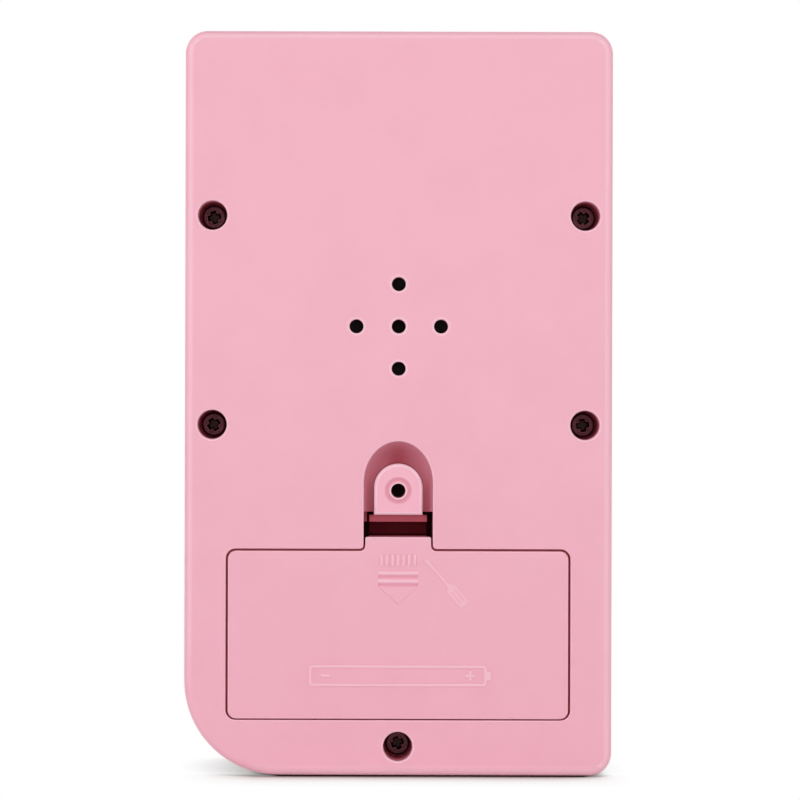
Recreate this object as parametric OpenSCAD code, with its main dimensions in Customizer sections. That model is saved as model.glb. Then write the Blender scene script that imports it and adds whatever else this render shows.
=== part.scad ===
// Handheld brick game console with a one-piece portrait body.
// It stands on its lower edge: +Z is up, the rear face looks to -Y and the screen to +Y.
// The origin is at the middle of the base. All sizes are in millimetres.
// "Depth" is measured from the rear face towards the screen, "height" from the base.

/* [Case] */
// Width of the case
case_w = 77; // [76:0.5:82]
// Height of the case
case_h = 134; // [133:0.5:142]
// Depth of the case without its keys
case_d = 27; // [26.8:0.1:30]
// Radius of the three small outline corners
corner_r = 4; // [3:0.5:6]
// Radius of the large outline corner
big_corner_r = 17; // [12:0.5:19]
// Rounding of the outer edges
edge_r = 1.6; // [0.8:0.1:2]
// Thickness of the case walls
wall = 2; // [1.9:0.1:2.2]
// Depth of the rear shell, from the rear face to the parting line
rear_d = 12.4; // [12.2:0.1:13.5]
// Height of the front shell's lip inside the rear shell
lip_h = 1.4; // [1:0.1:2]
// Thickness of that lip
lip_t = 0.9; // [0.7:0.1:1.1]
// Width and depth of the groove along the parting line
groove = 0.3; // [0.2:0.1:0.4]

/* [Case screws] */
// Distance of the side screws from the case's side
screw_inset = 5; // [4.8:0.1:5.4]
// Height of the upper pair of screws
screw_upper_h = 100.7; // [98:0.1:104]
// Height of the middle pair of screws
screw_middle_h = 63.1; // [62:0.1:65]
// Height of the single lower screw
screw_lower_h = 5.3; // [5.2:0.1:5.4]
// Radius of the wells that the screw heads lie in
well_r = 2.6; // [2.5:0.1:2.8]
// Depth of the seat at the bottom of each well
well_d = 6.8; // [6:0.1:8]
// Radius of the screw heads
screw_head_r = 2.25; // [2:0.05:2.4]
// Thickness of the screw heads
screw_head_t = 1.6; // [1.2:0.1:2]
// Radius of the screw shanks
screw_r = 1.25; // [1:0.05:1.4]
// Length of the screw shanks
screw_len = 10; // [8:0.5:12]
// Wall around each well
boss_wall = 1.2; // [1:0.1:1.3]
// Radius of the front shell's screw bosses
front_boss_r = 3.2; // [2.9:0.1:3.4]

/* [Loudspeaker] */
// Height of the loudspeaker's centre
speaker_h = 80.8; // [80:0.1:83]
// Radius of the loudspeaker's flange
speaker_r = 14; // [13:0.5:14.5]
// Radius of each sound hole
sound_hole_r = 1.25; // [1:0.05:1.5]
// Distance of the outer sound holes from the centre one
sound_pitch = 7.6; // [6.5:0.1:8.5]
// Depth of the loudspeaker's basket
basket_d = 4.6; // [4:0.1:5.5]
// Radius of the magnet
magnet_r = 6.4; // [5.5:0.1:6.8]
// Thickness of the magnet
magnet_t = 3; // [2:0.1:4]
// Height of the ring that holds the loudspeaker, above the wall
ring_h = 3; // [2.6:0.1:3.6]

/* [Battery bay] */
// Diameter of a cell
cell_d = 14.4; // [14:0.1:14.6]
// Length of a cell over its button
cell_len = 50.5; // [50:0.1:51]
// Radius of a cell's button
button_r = 2.6; // [2.3:0.1:2.8]
// Length of a cell's button
button_len = 1.2; // [1:0.1:1.5]
// Room for the contact at each end of the bay's inside
contact_room = 3.75; // [3.4:0.05:4.2]
// Thickness of the bay's walls
bay_wall = 1.2; // [1:0.1:1.4]
// Width of the square contact plates
contact_w = 11; // [9:0.5:12]
// Thickness of the contact plates
contact_t = 0.4; // [0.3:0.05:0.5]
// Radius of the contact springs' wire
spring_wire_r = 0.35; // [0.25:0.05:0.45]
// Turns of each contact spring
spring_turns = 4; // [3:1:5]

/* [Battery cover] */
// Height of the cover's lower edge above the base
cover_h = 10.2; // [10.1:0.1:11.5]
// Thickness of the cover
cover_t = 1.8; // [1.6:0.1:1.9]
// Seat of the cover beside the bay, at each side
seat_x = 1.65; // [1.5:0.05:2.2]
// Seat of the cover above and below the bay
seat_z = 0.3; // [0.25:0.05:0.6]
// Radius of the cover's corners
cover_r = 1.5; // [1:0.1:2]
// Distance of the two hooks from the middle
hook_x = 18; // [12:0.5:22]
// Width of each hook
hook_w = 5.6; // [4:0.1:7]
// Height of the raised marks
mark_h = 0.2; // [0.1:0.05:0.3]

/* [Battery latch] */
// Width of the channel for the cover's tongue and the thumb recess
channel_w = 12.4; // [12:0.1:13]
// Thickness of the latch spring's legs
leg_t = 1.2; // [1:0.1:1.4]
// Width of the latch spring's legs
leg_w = 10.5; // [9.6:0.1:11]
// Width of the slot between the cover's tongue and the latch
slot_w = 2.6; // [2.2:0.1:3]
// Depth of the latch spring's bend
bend_d = 9.5; // [9:0.1:9.8]
// Width of the latch's thumb pad
pad_w = 8.8; // [8:0.1:9.2]
// Straight height of the thumb pad, below its arch
pad_h = 4.9; // [4.5:0.1:5.5]
// Thickness of the thumb pad
pad_t = 5; // [4.6:0.1:5.2]
// Radius of the hole for the locking screw
lock_hole_r = 1.3; // [1.1:0.05:1.4]
// Radius of that hole's countersink
lock_sink_r = 2.45; // [2:0.05:2.7]
// Rise of the thumb recess above its straight sides
scoop_rise = 7.4; // [7:0.1:8]
// Depth of the thumb recess at the latch
scoop_d = 3.9; // [3.4:0.1:4.2]

/* [Screen] */
// Distance of the screen's centre from the top of the case
screen_drop = 35; // [34:0.5:36]
// Width of the lens
lens_w = 60; // [56:0.5:62]
// Height of the lens
lens_h = 54; // [51:0.5:56]
// Thickness of the lens
lens_t = 1; // [0.8:0.1:1.1]
// Radius of the lens's corners
lens_r = 3; // [2:0.5:5]
// Thickness of the printed border behind the lens
border_t = 0.2; // [0.1:0.05:0.3]
// Width of the visible screen
view_w = 38; // [34:0.5:39]
// Height of the visible screen
view_h = 36; // [32:0.5:37]
// Width of the display glass
glass_w = 46; // [44:0.5:48]
// Height of the display glass
glass_h = 44; // [42:0.5:45]
// Thickness of the display glass
glass_t = 2; // [1.6:0.1:2.2]
// Thickness of the foam gasket around the display
gasket_t = 0.6; // [0.4:0.1:0.8]
// Width of the display holder's rim
holder_rim = 2.8; // [2:0.1:3]

/* [Circuit board] */
// Room between the board and the front wall
board_room = 3.6; // [3.4:0.1:4]
// Thickness of the board
board_t = 1.2; // [1:0.1:1.6]
// Height of the board's lower edge above the base
board_h = 11; // [10:0.5:12]
// Distance of the board's upper edge from the top of the case
board_drop = 5; // [4.5:0.1:5.5]
// Radius of the board screws' heads
board_screw_head_r = 1.8; // [1.6:0.1:2]
// Radius of the board screws' shanks
board_screw_r = 0.9; // [0.7:0.05:1]
// Radius of the posts that the board is screwed to
post_r = 2.2; // [2:0.1:2.4]
// Radius of the drop of resin over the chip
chip_r = 7; // [5:0.5:8]
// Radius of the capacitor
capacitor_r = 2.5; // [2:0.1:3.2]
// Length of the capacitor
capacitor_l = 6; // [5:0.5:7]
// Length of a resistor's body
resistor_l = 4; // [3:0.1:4.5]
// Radius of a resistor's body
resistor_r = 0.9; // [0.7:0.05:1]
// Radius of the leads
lead_r = 0.45; // [0.35:0.05:0.5]

/* [Keys] */
// Radius of a direction key
direction_r = 4.6; // [4:0.1:5]
// Distance of each direction key from the middle of the four
direction_pitch = 8.5; // [8.3:0.1:9]
// Distance of the middle of the direction keys from the case's side
direction_inset = 23; // [22.5:0.1:23.5]
// Distance of the large keys' centres below the function keys
direction_drop = 21; // [20:0.5:22]
// Radius of the action key
action_r = 7.5; // [6:0.1:8]
// Distance of the action key's centre from the case's side
action_inset = 21.5; // [20.5:0.1:22.5]
// Radius of a function key
function_r = 2.5; // [2:0.1:2.8]
// Distance between two function keys
function_pitch = 12; // [10:0.5:12.5]
// Distance of the function keys' centres below the lens
function_drop = 7; // [6:0.1:8]
// How far a pressed key still stands out of the front
key_rest = 0.6; // [0.4:0.1:1.2]
// Thickness of each key's flange
flange_t = 0.95; // [0.8:0.05:1]
// Width of each key's flange around it
flange_rim = 0.8; // [0.6:0.05:0.9]
// Travel of the keys
key_travel = 1; // [0.8:0.1:1.1]
// Thickness of the rubber mats
mat_t = 0.8; // [0.6:0.1:0.9]

/* [Fits] */
// Gap around the battery cover
cover_gap = 0.25; // [0.2:0.05:0.35]
// Gap around the keys
key_gap = 0.15; // [0.1:0.05:0.25]
// Gap around the screws, the lip and the loudspeaker
part_gap = 0.1; // [0.05:0.05:0.15]
// Gap around the cells
cell_gap = 0.3; // [0.2:0.05:0.4]
// Gap between pieces that only just meet
touch_gap = 0.05; // [0.02:0.01:0.08]
// Gap around the latch
latch_gap = 0.35; // [0.3:0.05:0.45]

/* [Hidden] */
$fn = 48;
// The extra length of a cut that runs out of its piece
cut = 1;

// Depths, from the rear face
key_proud = key_travel + key_rest;
rear_y = -(case_d + key_proud - mark_h) / 2;
front_in = case_d - wall;
board_front = front_in - board_room;
board_rear = board_front - board_t;

// Case screws
screw_x = case_w / 2 - screw_inset;
SCREWS = [
    [-screw_x, screw_upper_h], [screw_x, screw_upper_h],
    [-screw_x, screw_middle_h], [screw_x, screw_middle_h],
    [0, screw_lower_h]
];
rear_boss_r = well_r + boss_wall;
screw_end = well_d + screw_len;

// Battery bay: the cells lie across the case, one above the other
cell_r = cell_d / 2;
cell_pitch = cell_d + cell_gap;
bay_l = cell_len + 2 * contact_room;
bay_h = cell_pitch + cell_d + 2 * cell_gap;
seat_d = cover_t + touch_gap;
bay_d = seat_d + 2 * cell_gap + cell_d;
bay_out_l = bay_l + 2 * bay_wall;
bay_out_h = bay_h + 2 * bay_wall;
bay_out_d = bay_d + bay_wall;
cell_depth = seat_d + cell_gap + cell_r;

// Battery cover
cover_w = bay_l + 2 * seat_x;
cover_l = bay_h + 2 * seat_z;
bay_mid = cover_h + cover_l / 2;
opening_w = cover_w + 2 * cover_gap;
opening_l = cover_l + 2 * cover_gap;
seat_rim = 1.2;
seat_t = 1.4;
hook_t = 1.1;
hook_reach = 1.5;
hook_leg = 1.35;
hook_d = wall + 0.2;
hook_swing = 1.3;
lower_cell_h = bay_mid - cell_pitch / 2;
upper_cell_h = bay_mid + cell_pitch / 2;

// Battery latch
leg_h = bay_mid + bay_out_h / 2 + latch_gap;
tongue_top = leg_h + leg_t;
tongue_w = channel_w - 2 * cover_gap;
ledge_h = tongue_top + slot_w;
ledge_t = 1.3;
pad_base = ledge_h + ledge_t;
pad_arch = pad_base + pad_h;
pad_top = pad_arch + pad_w / 2;
pad_d = 0.4;
pad_bottom = pad_d + pad_t;
slot_top = pad_base + 0.6;
catch_d = pad_d + 2.6;
latch_play = 0.25;
lock_h = pad_base + 4.4;
lock_sink_d = 1.2;
scoop_top = pad_arch + 1;
rim_t = 1.2;
well_back = bend_d + 0.9;
post_gap = 0.5;
lock_post_r = 2.5;
lock_pilot_r = 1;

// Screen
screen_h = case_h - screen_drop;
lens_d = case_d - lens_t;
border_d = lens_d - border_t;
glass_front = front_in - gasket_t;
glass_rear = glass_front - glass_t;
reflector_t = 0.2;
window_margin = 1;
gasket_margin = 1.5;
zebra_w = 1.8;
zebra_gap = 0.4;
holder_w = glass_w + 2 * (part_gap + holder_rim);
holder_h = glass_h + 2 * (part_gap + holder_rim - 1);

// Circuit board
board_w = 2 * (screw_x - front_boss_r - 0.8);
board_top = case_h - board_drop;
board_screw_x = board_w / 2 - post_r - 0.6;
board_screw_rise = holder_h / 2 + post_r + 0.9;
BOARD_SCREWS = [
    for (h = [board_h + 1.8 * post_r, screen_h - board_screw_rise, screen_h + board_screw_rise])
        for (side = [-1, 1]) [side * board_screw_x, h]
];
board_screw_len = board_t + board_room * 0.75;
board_screw_head_t = 1.1;
chip_t = chip_r / 5;
chip_h = bay_mid + bay_out_h / 2 + chip_r + 4.6;
resistor_wire_r = 0.25;
resistor_pitch = 4;

// Keys
function_h = screen_h - lens_h / 2 - function_drop;
direction_h = function_h - direction_drop;
direction_x = case_w / 2 - direction_inset;
action_x = case_w / 2 - action_inset;
flange_d = front_in - touch_gap - flange_t;
dome_top = flange_d - touch_gap;
DIRECTIONS = [[0, 1], [0, -1], [1, 0], [-1, 0]];
FUNCTIONS = [-1.5, -0.5, 0.5, 1.5];

// Loudspeaker
speaker_in = wall;
cone_t = 0.3;
basket_t = 0.6;
flange_w = 2.2;
terminal_h = speaker_h - speaker_r + 2.6;

// ---------------------------------------------------------------- helpers

// Puts a drawing of the case's plan (x, height) between two depths.
module slab(from, to) {
    translate([0, rear_y + to, 0]) rotate([90, 0, 0]) linear_extrude(to - from) children();
}

// Puts a solid drawn on the plan (x, height) at a depth: its own +Z looks to the rear.
module plan(depth) {
    translate([0, rear_y + depth, 0]) rotate([90, 0, 0]) children();
}

module disc(p, r) {
    translate(p) circle(r);
}

// A rectangle on the plan, between two heights and centred on x.
module band(w, low, high, x = 0) {
    translate([x - w / 2, low]) square([w, high - low]);
}

// A rectangle with round corners, centred.
module round_rect(w, h, r) {
    a = w / 2;
    b = h / 2;
    polygon([
        [-a + r, -b], [a - r, -b], [a, -b + r], [a, b - r],
        [a - r, b], [-a + r, b], [-a, b - r], [-a, -b + r]
    ]);
    for (x = [-a + r, a - r]) for (y = [-b + r, b - r]) disc([x, y], r);
}

// The corners of the case's outline, from the large one round: centre and radius.
function outline_corners(inset) =
    let (
        a = case_w / 2 - inset,
        r = corner_r - inset,
        big = big_corner_r - inset
    ) [
        [[-a + big, inset + big], big],
        [[a - r, inset + r], r],
        [[a - r, case_h - inset - r], r],
        [[-a + r, case_h - inset - r], r]
    ];

function on_arc(corner, angle) = corner[0] + corner[1] * [cos(angle), sin(angle)];

// The case's outline, moved inwards by inset.
module outline(inset) {
    corners = outline_corners(inset);
    polygon([for (i = [0:3]) for (a = [180, 270]) on_arc(corners[i], a + 90 * i)]);
    for (c = corners) disc(c[0], c[1]);
}

module outline_ring(outer, inner) {
    difference() {
        outline(outer);
        outline(inner);
    }
}

// The section of a rounded edge, with a strip that reaches into the core.
module edge_section() {
    root = edge_r / 4;
    intersection() {
        circle(edge_r);
        square(edge_r);
    }
    translate([-root, 0]) square([root, edge_r]);
}

// The rounding that runs round the outline, on top of z = 0.
module edge_rounding() {
    corners = outline_corners(edge_r);
    for (i = [0:3]) {
        c = corners[i];
        start = on_arc(c, 270 + 90 * i);
        finish = on_arc(corners[(i + 1) % 4], 270 + 90 * i);
        translate(c[0]) rotate(180 + 90 * i)
            rotate_extrude(angle = 90) translate([c[1], 0]) edge_section();
        translate(start) rotate(90 * i) rotate([90, 0, 90])
            linear_extrude(norm(finish - start)) mirror([1, 0]) edge_section();
    }
}

// A solid shell blank from z = 0 up to its rounded outer face.
module shell_blank(depth) {
    linear_extrude(depth - edge_r) outline(0);
    translate([0, 0, depth - edge_r]) {
        linear_extrude(edge_r) outline(edge_r);
        edge_rounding();
    }
}

// An arched shape on the plan: straight sides and a round or egg-shaped top.
module arch(w, base, straight, rise) {
    band(w, base, straight);
    translate([0, straight]) scale([1, 2 * rise / w]) circle(d = w);
}

// One ring of points round p, square to the direction t.
function ring_at(p, t, r, sides) =
    let (
        u = cross(cross(t, [1, 0, 0]), t),
        a = u / norm(u),
        b = cross(t, a) / norm(t)
    ) [for (k = [0:sides - 1]) p + r * (cos(360 * k / sides) * a + sin(360 * k / sides) * b)];

// The direction of a route at point i.
function heading(path, i) =
    path[min(i + 1, len(path) - 1)] - path[max(i - 1, 0)];

// A closed tube through rings of points.
module tube(rings) {
    n = len(rings);
    s = len(rings[0]);
    sides = [
        for (i = [0:n - 2]) for (k = [0:s - 1])
            let (m = (k + 1) % s) each [
                [i * s + k, i * s + m, (i + 1) * s + m],
                [i * s + k, (i + 1) * s + m, (i + 1) * s + k]
            ]
    ];
    first = [for (k = [s - 1:-1:0]) k];
    last = [for (k = [0:s - 1]) (n - 1) * s + k];
    polyhedron([for (r = rings) each r], concat([first], sides, [last]));
}

// A lead through points given as [x, depth, height].
module lead(route) {
    path = [for (p = route) [p[0], rear_y + p[1], p[2]]];
    tube([for (i = [0:len(path) - 1]) ring_at(path[i], heading(path, i), lead_r, 8)]);
}

// ---------------------------------------------------------------- case

module sound_holes() {
    for (p = [[0, 0], [1, 0], [-1, 0], [0, 1], [0, -1]])
        disc([0, speaker_h] + sound_pitch * p, sound_hole_r);
}

// The opening in the rear wall for the cover and its tongue.
module cover_opening() {
    translate([0, bay_mid]) round_rect(opening_w, opening_l, cover_r + cover_gap);
    band(channel_w, bay_mid, slot_top);
}

// The thumb recess slopes down from the rear face to the latch.
module thumb_recess() {
    hull() {
        slab(-0.01, 0) arch(channel_w, slot_top, scoop_top, scoop_rise, $fn = 32);
        slab(scoop_d - 0.01, scoop_d)
            arch(pad_w + 2 * latch_gap, slot_top, pad_arch, pad_w / 2 + 1.4 * latch_gap, $fn = 32);
    }
}

// The hole under the thumb recess that the latch moves in.
module latch_hole() {
    w = pad_w + 2 * latch_gap;
    slab(scoop_d - 0.1, scoop_d + rim_t + cut) {
        band(w, slot_top - cut, pad_arch + 0.4 * latch_gap);
        disc([0, pad_arch + 0.4 * latch_gap], w / 2);
    }
}

module latch_block() {
    top = scoop_top + scoop_rise + bay_wall;
    slab(wall / 2, well_back + bay_wall) band(channel_w + 2 * bay_wall, leg_h - bay_wall, top);
}

module latch_well() {
    slab(-cut, well_back) band(channel_w, leg_h - latch_gap, slot_top);
    slab(scoop_d + rim_t, well_back) band(channel_w, slot_top - cut, pad_top + 2.4);
}

module lock_post() {
    difference() {
        slab(pad_bottom + post_gap, well_back + bay_wall / 2) disc([0, lock_h], lock_post_r);
        slab(pad_bottom, well_back - bay_wall / 2) disc([0, lock_h], lock_pilot_r);
    }
}

module speaker_ring() {
    inner = speaker_r + part_gap;
    slab(wall / 2, wall + ring_h) difference() {
        disc([0, speaker_h], inner + 1.2);
        disc([0, speaker_h], inner);
    }
    // three lugs reach over the flange
    for (a = [90, 210, 330])
        slab(wall + 0.8 + part_gap, wall + ring_h)
            translate([0, speaker_h]) rotate(a) translate([speaker_r - 0.7, -1.5]) square([1.6, 3]);
}

module bay_tray() {
    slab(seat_d, bay_out_d) translate([0, bay_mid]) square([bay_out_l, bay_out_h], center = true);
    slab(seat_d, seat_d + seat_t) translate([0, bay_mid])
        square([opening_w, opening_l] + 2 * seat_rim * [1, 1], center = true);
}

module bay_hollow() {
    slab(seat_d - cut, bay_d) translate([0, bay_mid]) square([bay_l, bay_h], center = true);
    // slots for the contacts' tails
    for (h = [lower_cell_h, upper_cell_h])
        slab(bay_d - cut, bay_out_d + cut)
            translate([-bay_l / 2, h - 1.7]) square([contact_t + 0.2, 3.4]);
    // room for the hooks and their swing
    for (side = [-1, 1]) {
        slab(wall, hook_d + hook_t + hook_swing)
            band(hook_w + 1, cover_h - hook_reach - 0.5, cover_h + 2.4, side * hook_x);
        slab(cover_t - cut, hook_d + hook_t + hook_swing)
            band(hook_w + 1, cover_h - cover_gap, cover_h + 2.4, side * hook_x);
    }
}

// A low rib on the bay's floor keeps the two cells apart.
module cell_rib() {
    slab(bay_d - 3.2, bay_d + bay_wall / 2) band(bay_l, bay_mid - 0.5, bay_mid + 0.5);
}

module rear_case() {
    color("pink") union() {
        difference() {
            union() {
                difference() {
                    plan(rear_d) shell_blank(rear_d);
                    slab(wall, rear_d + cut) outline(wall);
                    slab(rear_d - lip_h - part_gap, rear_d + cut) outline(wall - lip_t - part_gap);
                }
                for (p = SCREWS) slab(wall / 2, rear_d) disc(p, rear_boss_r);
                bay_tray();
                latch_block();
                speaker_ring();
            }
            slab(-cut, seat_d) cover_opening();
            bay_hollow();
            latch_well();
            latch_hole();
            thumb_recess();
            slab(-cut, wall + cut) sound_holes();
            for (p = SCREWS) {
                slab(-cut, well_d) disc(p, well_r);
                slab(well_d - cut, rear_d + cut) disc(p, screw_r + part_gap);
            }
        }
        lock_post();
        cell_rib();
    }
}

function key_holes() = concat(
    [for (d = DIRECTIONS) [[direction_x, direction_h] + direction_pitch * d, direction_r]],
    [[[-action_x, direction_h], action_r]],
    [for (k = FUNCTIONS) [[function_pitch * k, function_h], function_r]]
);

module front_case() {
    color("pink") difference() {
        union() {
            difference() {
                plan(rear_d) mirror([0, 0, 1]) shell_blank(case_d - rear_d);
                slab(rear_d - cut, front_in) outline(wall);
            }
            difference() {
                slab(rear_d - lip_h, rear_d + lip_t) outline_ring(wall - lip_t, wall);
                for (p = SCREWS)
                    slab(rear_d - lip_h - cut, rear_d) disc(p, rear_boss_r + 3 * part_gap);
            }
            for (p = SCREWS) slab(rear_d, front_in + wall / 2) disc(p, front_boss_r);
            for (p = BOARD_SCREWS) slab(board_front, front_in + wall / 2) disc(p, post_r);
        }
        for (p = SCREWS) slab(rear_d - cut, screw_end + cut) disc(p, screw_r + part_gap / 2);
        for (p = BOARD_SCREWS)
            slab(board_front - cut, board_rear + board_screw_len + 0.3)
                disc(p, board_screw_r + part_gap / 2);
        for (k = key_holes()) slab(front_in - cut, case_d + cut) disc(k[0], k[1] + key_gap);
        slab(border_d, case_d + cut)
            translate([0, screen_h])
                round_rect(lens_w + 2 * part_gap, lens_h + 2 * part_gap, lens_r + part_gap);
        slab(front_in - cut, case_d) translate([0, screen_h])
            square([view_w, view_h] + 2 * window_margin * [1, 1], center = true);
        slab(rear_d - cut / 2, rear_d + groove) outline_ring(-cut, groove);
    }
}

// A cross recess, sunk into a head that looks to the rear.
module cross_recess(w, r, depth) {
    slab(-cut, depth) for (a = [0, 90]) rotate(a) square([2 * r, w], center = true);
}

module case_screws() {
    head_d = well_d - screw_head_t;
    bevel = 0.5;
    color([0.16, 0.12, 0.11]) for (p = SCREWS) difference() {
        union() {
            slab(well_d - 0.2, screw_end) disc(p, screw_r);
            translate([p[0], 0, p[1]]) plan(well_d) rotate_extrude() polygon([
                [0, 0], [screw_head_r, 0], [screw_head_r, screw_head_t - bevel],
                [screw_head_r - bevel, screw_head_t], [0, screw_head_t]
            ]);
        }
        translate([p[0], head_d, p[1]]) cross_recess(0.65, screw_head_r * 0.62, 0.9);
    }
}

// ---------------------------------------------------------------- battery cover and latch

// A raised outline of a cell with its two pole signs.
module cell_mark() {
    h = cover_h + 7.8;
    difference() {
        translate([0, h]) round_rect(32, 3.8, 0.6);
        translate([0, h]) round_rect(31, 2.8, 0.4);
    }
    band(0.8, h - 0.8, h + 0.8, 16.4);
    band(1.8, h - 0.25, h + 0.25, 13);
    band(0.5, h - 0.9, h - 0.25, 13);
    band(0.5, h + 0.25, h + 0.9, 13);
    band(1.8, h - 0.25, h + 0.25, -13);
}

// A raised screwdriver, drawn from its blade to the end of its handle.
module screwdriver_mark() {
    translate([4.9, bay_mid + 13.6]) rotate(-49) {
        translate([0, -0.6]) square([1.2, 1.2]);
        translate([1.2, -0.35]) square([5.6, 0.7]);
        translate([6.8, -0.9]) square([0.8, 1.8]);
        translate([9.8, 0]) round_rect(4.4, 2.5, 0.8);
    }
}

// Ribs, bars and an arrow that point down, the way the cover's latch is pushed.
module push_mark() {
    for (x = [-3:3]) band(0.6, tongue_top - 5.2, tongue_top - 3.2, x);
    band(7.2, bay_mid + 10.95, bay_mid + 11.45);
    band(7.2, bay_mid + 9.4, bay_mid + 10.1);
    translate([0, bay_mid + 8.7]) polygon([[-3.5, 0], [3.5, 0], [0, -3.3]]);
}

module cover_hook(x) {
    slab(cover_t, hook_d + hook_t) band(hook_w, cover_h, cover_h + hook_leg, x);
    slab(hook_d, hook_d + hook_t) band(hook_w, cover_h - hook_reach, cover_h, x);
}

module battery_cover() {
    color("pink") union() {
        slab(0, cover_t) {
            translate([0, bay_mid]) round_rect(cover_w, cover_l, cover_r);
            band(tongue_w, bay_mid, tongue_top);
        }
        slab(cover_t, bend_d) band(leg_w, leg_h, tongue_top);
        for (side = [-1, 1]) cover_hook(side * hook_x);
        slab(-mark_h, 0) {
            push_mark();
            screwdriver_mark();
            cell_mark();
        }
    }
}

module battery_latch() {
    color("pink") difference() {
        union() {
            slab(pad_d, pad_bottom) {
                band(pad_w, pad_base, pad_arch);
                disc([0, pad_arch], pad_w / 2);
            }
            slab(catch_d, pad_bottom) band(pad_w, ledge_h, pad_arch);
            slab(catch_d, bend_d) band(leg_w, ledge_h, pad_base);
            slab(bend_d - leg_t, bend_d) band(leg_w, tongue_top + latch_play, pad_base);
        }
        slab(pad_d - cut, pad_bottom + cut) disc([0, lock_h], lock_hole_r);
        translate([0, 0, lock_h]) plan(pad_d + lock_sink_d)
            cylinder(h = lock_sink_d, r1 = lock_hole_r, r2 = lock_sink_r);
    }
}

// ---------------------------------------------------------------- cells and contacts

// A cell on its side: its button looks to the side that "way" gives.
module cell(height, way) {
    button_end = bay_l / 2 - contact_t - 0.6 - touch_gap;
    translate([way * button_end, rear_y + cell_depth, height]) rotate([0, -90 * way, 0]) {
        cylinder(h = button_len + cut, r = button_r);
        translate([0, 0, button_len]) cylinder(h = cell_len - button_len, r = cell_r);
    }
}

module battery_upper() {
    color([0.25, 0.3, 0.4]) cell(upper_cell_h, 1);
}

module battery_lower() {
    color([0.25, 0.3, 0.4]) cell(lower_cell_h, -1);
}

// A flat contact plate at one end of the bay, with a tail through the bay's floor.
module contact_plate(height, way, tail) {
    x = way * (bay_l / 2 - contact_t / 2);
    slab(cell_depth - contact_w / 2, cell_depth + contact_w / 2)
        translate([x, height]) square([contact_t, contact_w], center = true);
    if (tail)
        slab(cell_depth, board_rear - 0.6) translate([x, height]) square([contact_t, 3], center = true);
}

// The pressed bump that meets a cell's button.
module contact_bump(height, way) {
    translate([way * (bay_l / 2 - contact_t), rear_y + cell_depth, height]) rotate([0, -90 * way, 0])
        cylinder(h = 0.6, r = 2);
}

// A conical spring that reaches from the plate to a cell's flat end.
module contact_spring(height, way) {
    flat_end = bay_l / 2 - contact_t - 0.6 - touch_gap - cell_len;
    root_x = bay_l / 2 - contact_t;
    reach = root_x + flat_end - touch_gap - 1.6 * spring_wire_r;
    steps = spring_turns * 12;
    rings = [
        for (i = [0:steps])
            let (
                a = 30 * i,
                r = 4.4 - 1.4 * i / steps,
                out = [0, cos(a), sin(a)],
                c = [
                    way * (root_x - 0.6 * spring_wire_r - reach * i / steps),
                    rear_y + cell_depth, height
                ] + r * out
            ) [
                for (k = [0:7])
                    c + spring_wire_r * (cos(45 * k) * out + sin(45 * k) * [1, 0, 0])
            ]
    ];
    tube(rings);
}

module contact_positive() {
    color("silver") {
        contact_plate(lower_cell_h, -1, true);
        contact_bump(lower_cell_h, -1);
    }
}

module contact_negative() {
    color("silver") union() {
        contact_plate(upper_cell_h, -1, true);
        contact_spring(upper_cell_h, -1);
    }
}

module contact_bridge() {
    color("silver") union() {
        contact_plate(upper_cell_h, 1, false);
        contact_plate(lower_cell_h, 1, false);
        slab(cell_depth - 2, cell_depth + 2)
            translate([bay_l / 2 - contact_t / 2, bay_mid]) square([contact_t, cell_pitch], center = true);
        contact_bump(upper_cell_h, 1);
        contact_spring(lower_cell_h, 1);
    }
}

// One lead from each contact's tail to its pad on the board.
module battery_leads() {
    beside = -bay_l / 2 + contact_t + lead_r + touch_gap;
    inner = beside + 2 * lead_r + 0.3;
    d = board_rear - lead_r - 0.5;
    pad = bay_mid + bay_out_h / 2 + 5;
    color("firebrick") lead([
        [beside, d, upper_cell_h - 1.5], [beside, d, pad - 1.4],
        [beside, d + 0.4, pad - 0.4], [beside, board_rear - 0.1, pad], [beside, board_rear, pad]
    ]);
    color("black") lead([
        [beside, d, lower_cell_h - 1.5], [beside, d, lower_cell_h + 3],
        [inner, d, lower_cell_h + 6], [inner, d, pad - 1.4],
        [inner, d + 0.4, pad - 0.4], [inner, board_rear - 0.1, pad], [inner, board_rear, pad]
    ]);
}

// ---------------------------------------------------------------- loudspeaker

// Turns a section, drawn as [radius, depth], about the loudspeaker's axis.
module speaker_turn() {
    translate([0, rear_y, speaker_h]) rotate([-90, 0, 0]) rotate_extrude() children();
}

module speaker_frame() {
    outer = speaker_r - flange_w;
    low = speaker_in + basket_d;
    color("dimgray") {
        speaker_turn() polygon([
            [outer, speaker_in], [speaker_r, speaker_in], [speaker_r, speaker_in + 0.8],
            [outer, speaker_in + 0.8], [magnet_r + 0.8, low], [0, low], [0, low - basket_t],
            [magnet_r + 0.4, low - basket_t]
        ]);
        // the terminal strip stands on the sloping basket
        slab(low - 1.6, low - 0.8) band(8, terminal_h - 1, speaker_h - magnet_r - 1.4);
    }
}

module speaker_cone() {
    outer = speaker_r - flange_w - 0.4;
    low = speaker_in + basket_d - basket_t - 0.5;
    color("black") speaker_turn() polygon([
        [outer - 0.4, speaker_in + 0.2], [outer, speaker_in + 0.2], [3.4, low],
        [0, low - 1], [0, low - 1 - cone_t], [3.2, low - cone_t]
    ]);
}

module speaker_magnet() {
    low = speaker_in + basket_d;
    color("silver") slab(low, low + magnet_t) disc([0, speaker_h], magnet_r);
}

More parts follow.
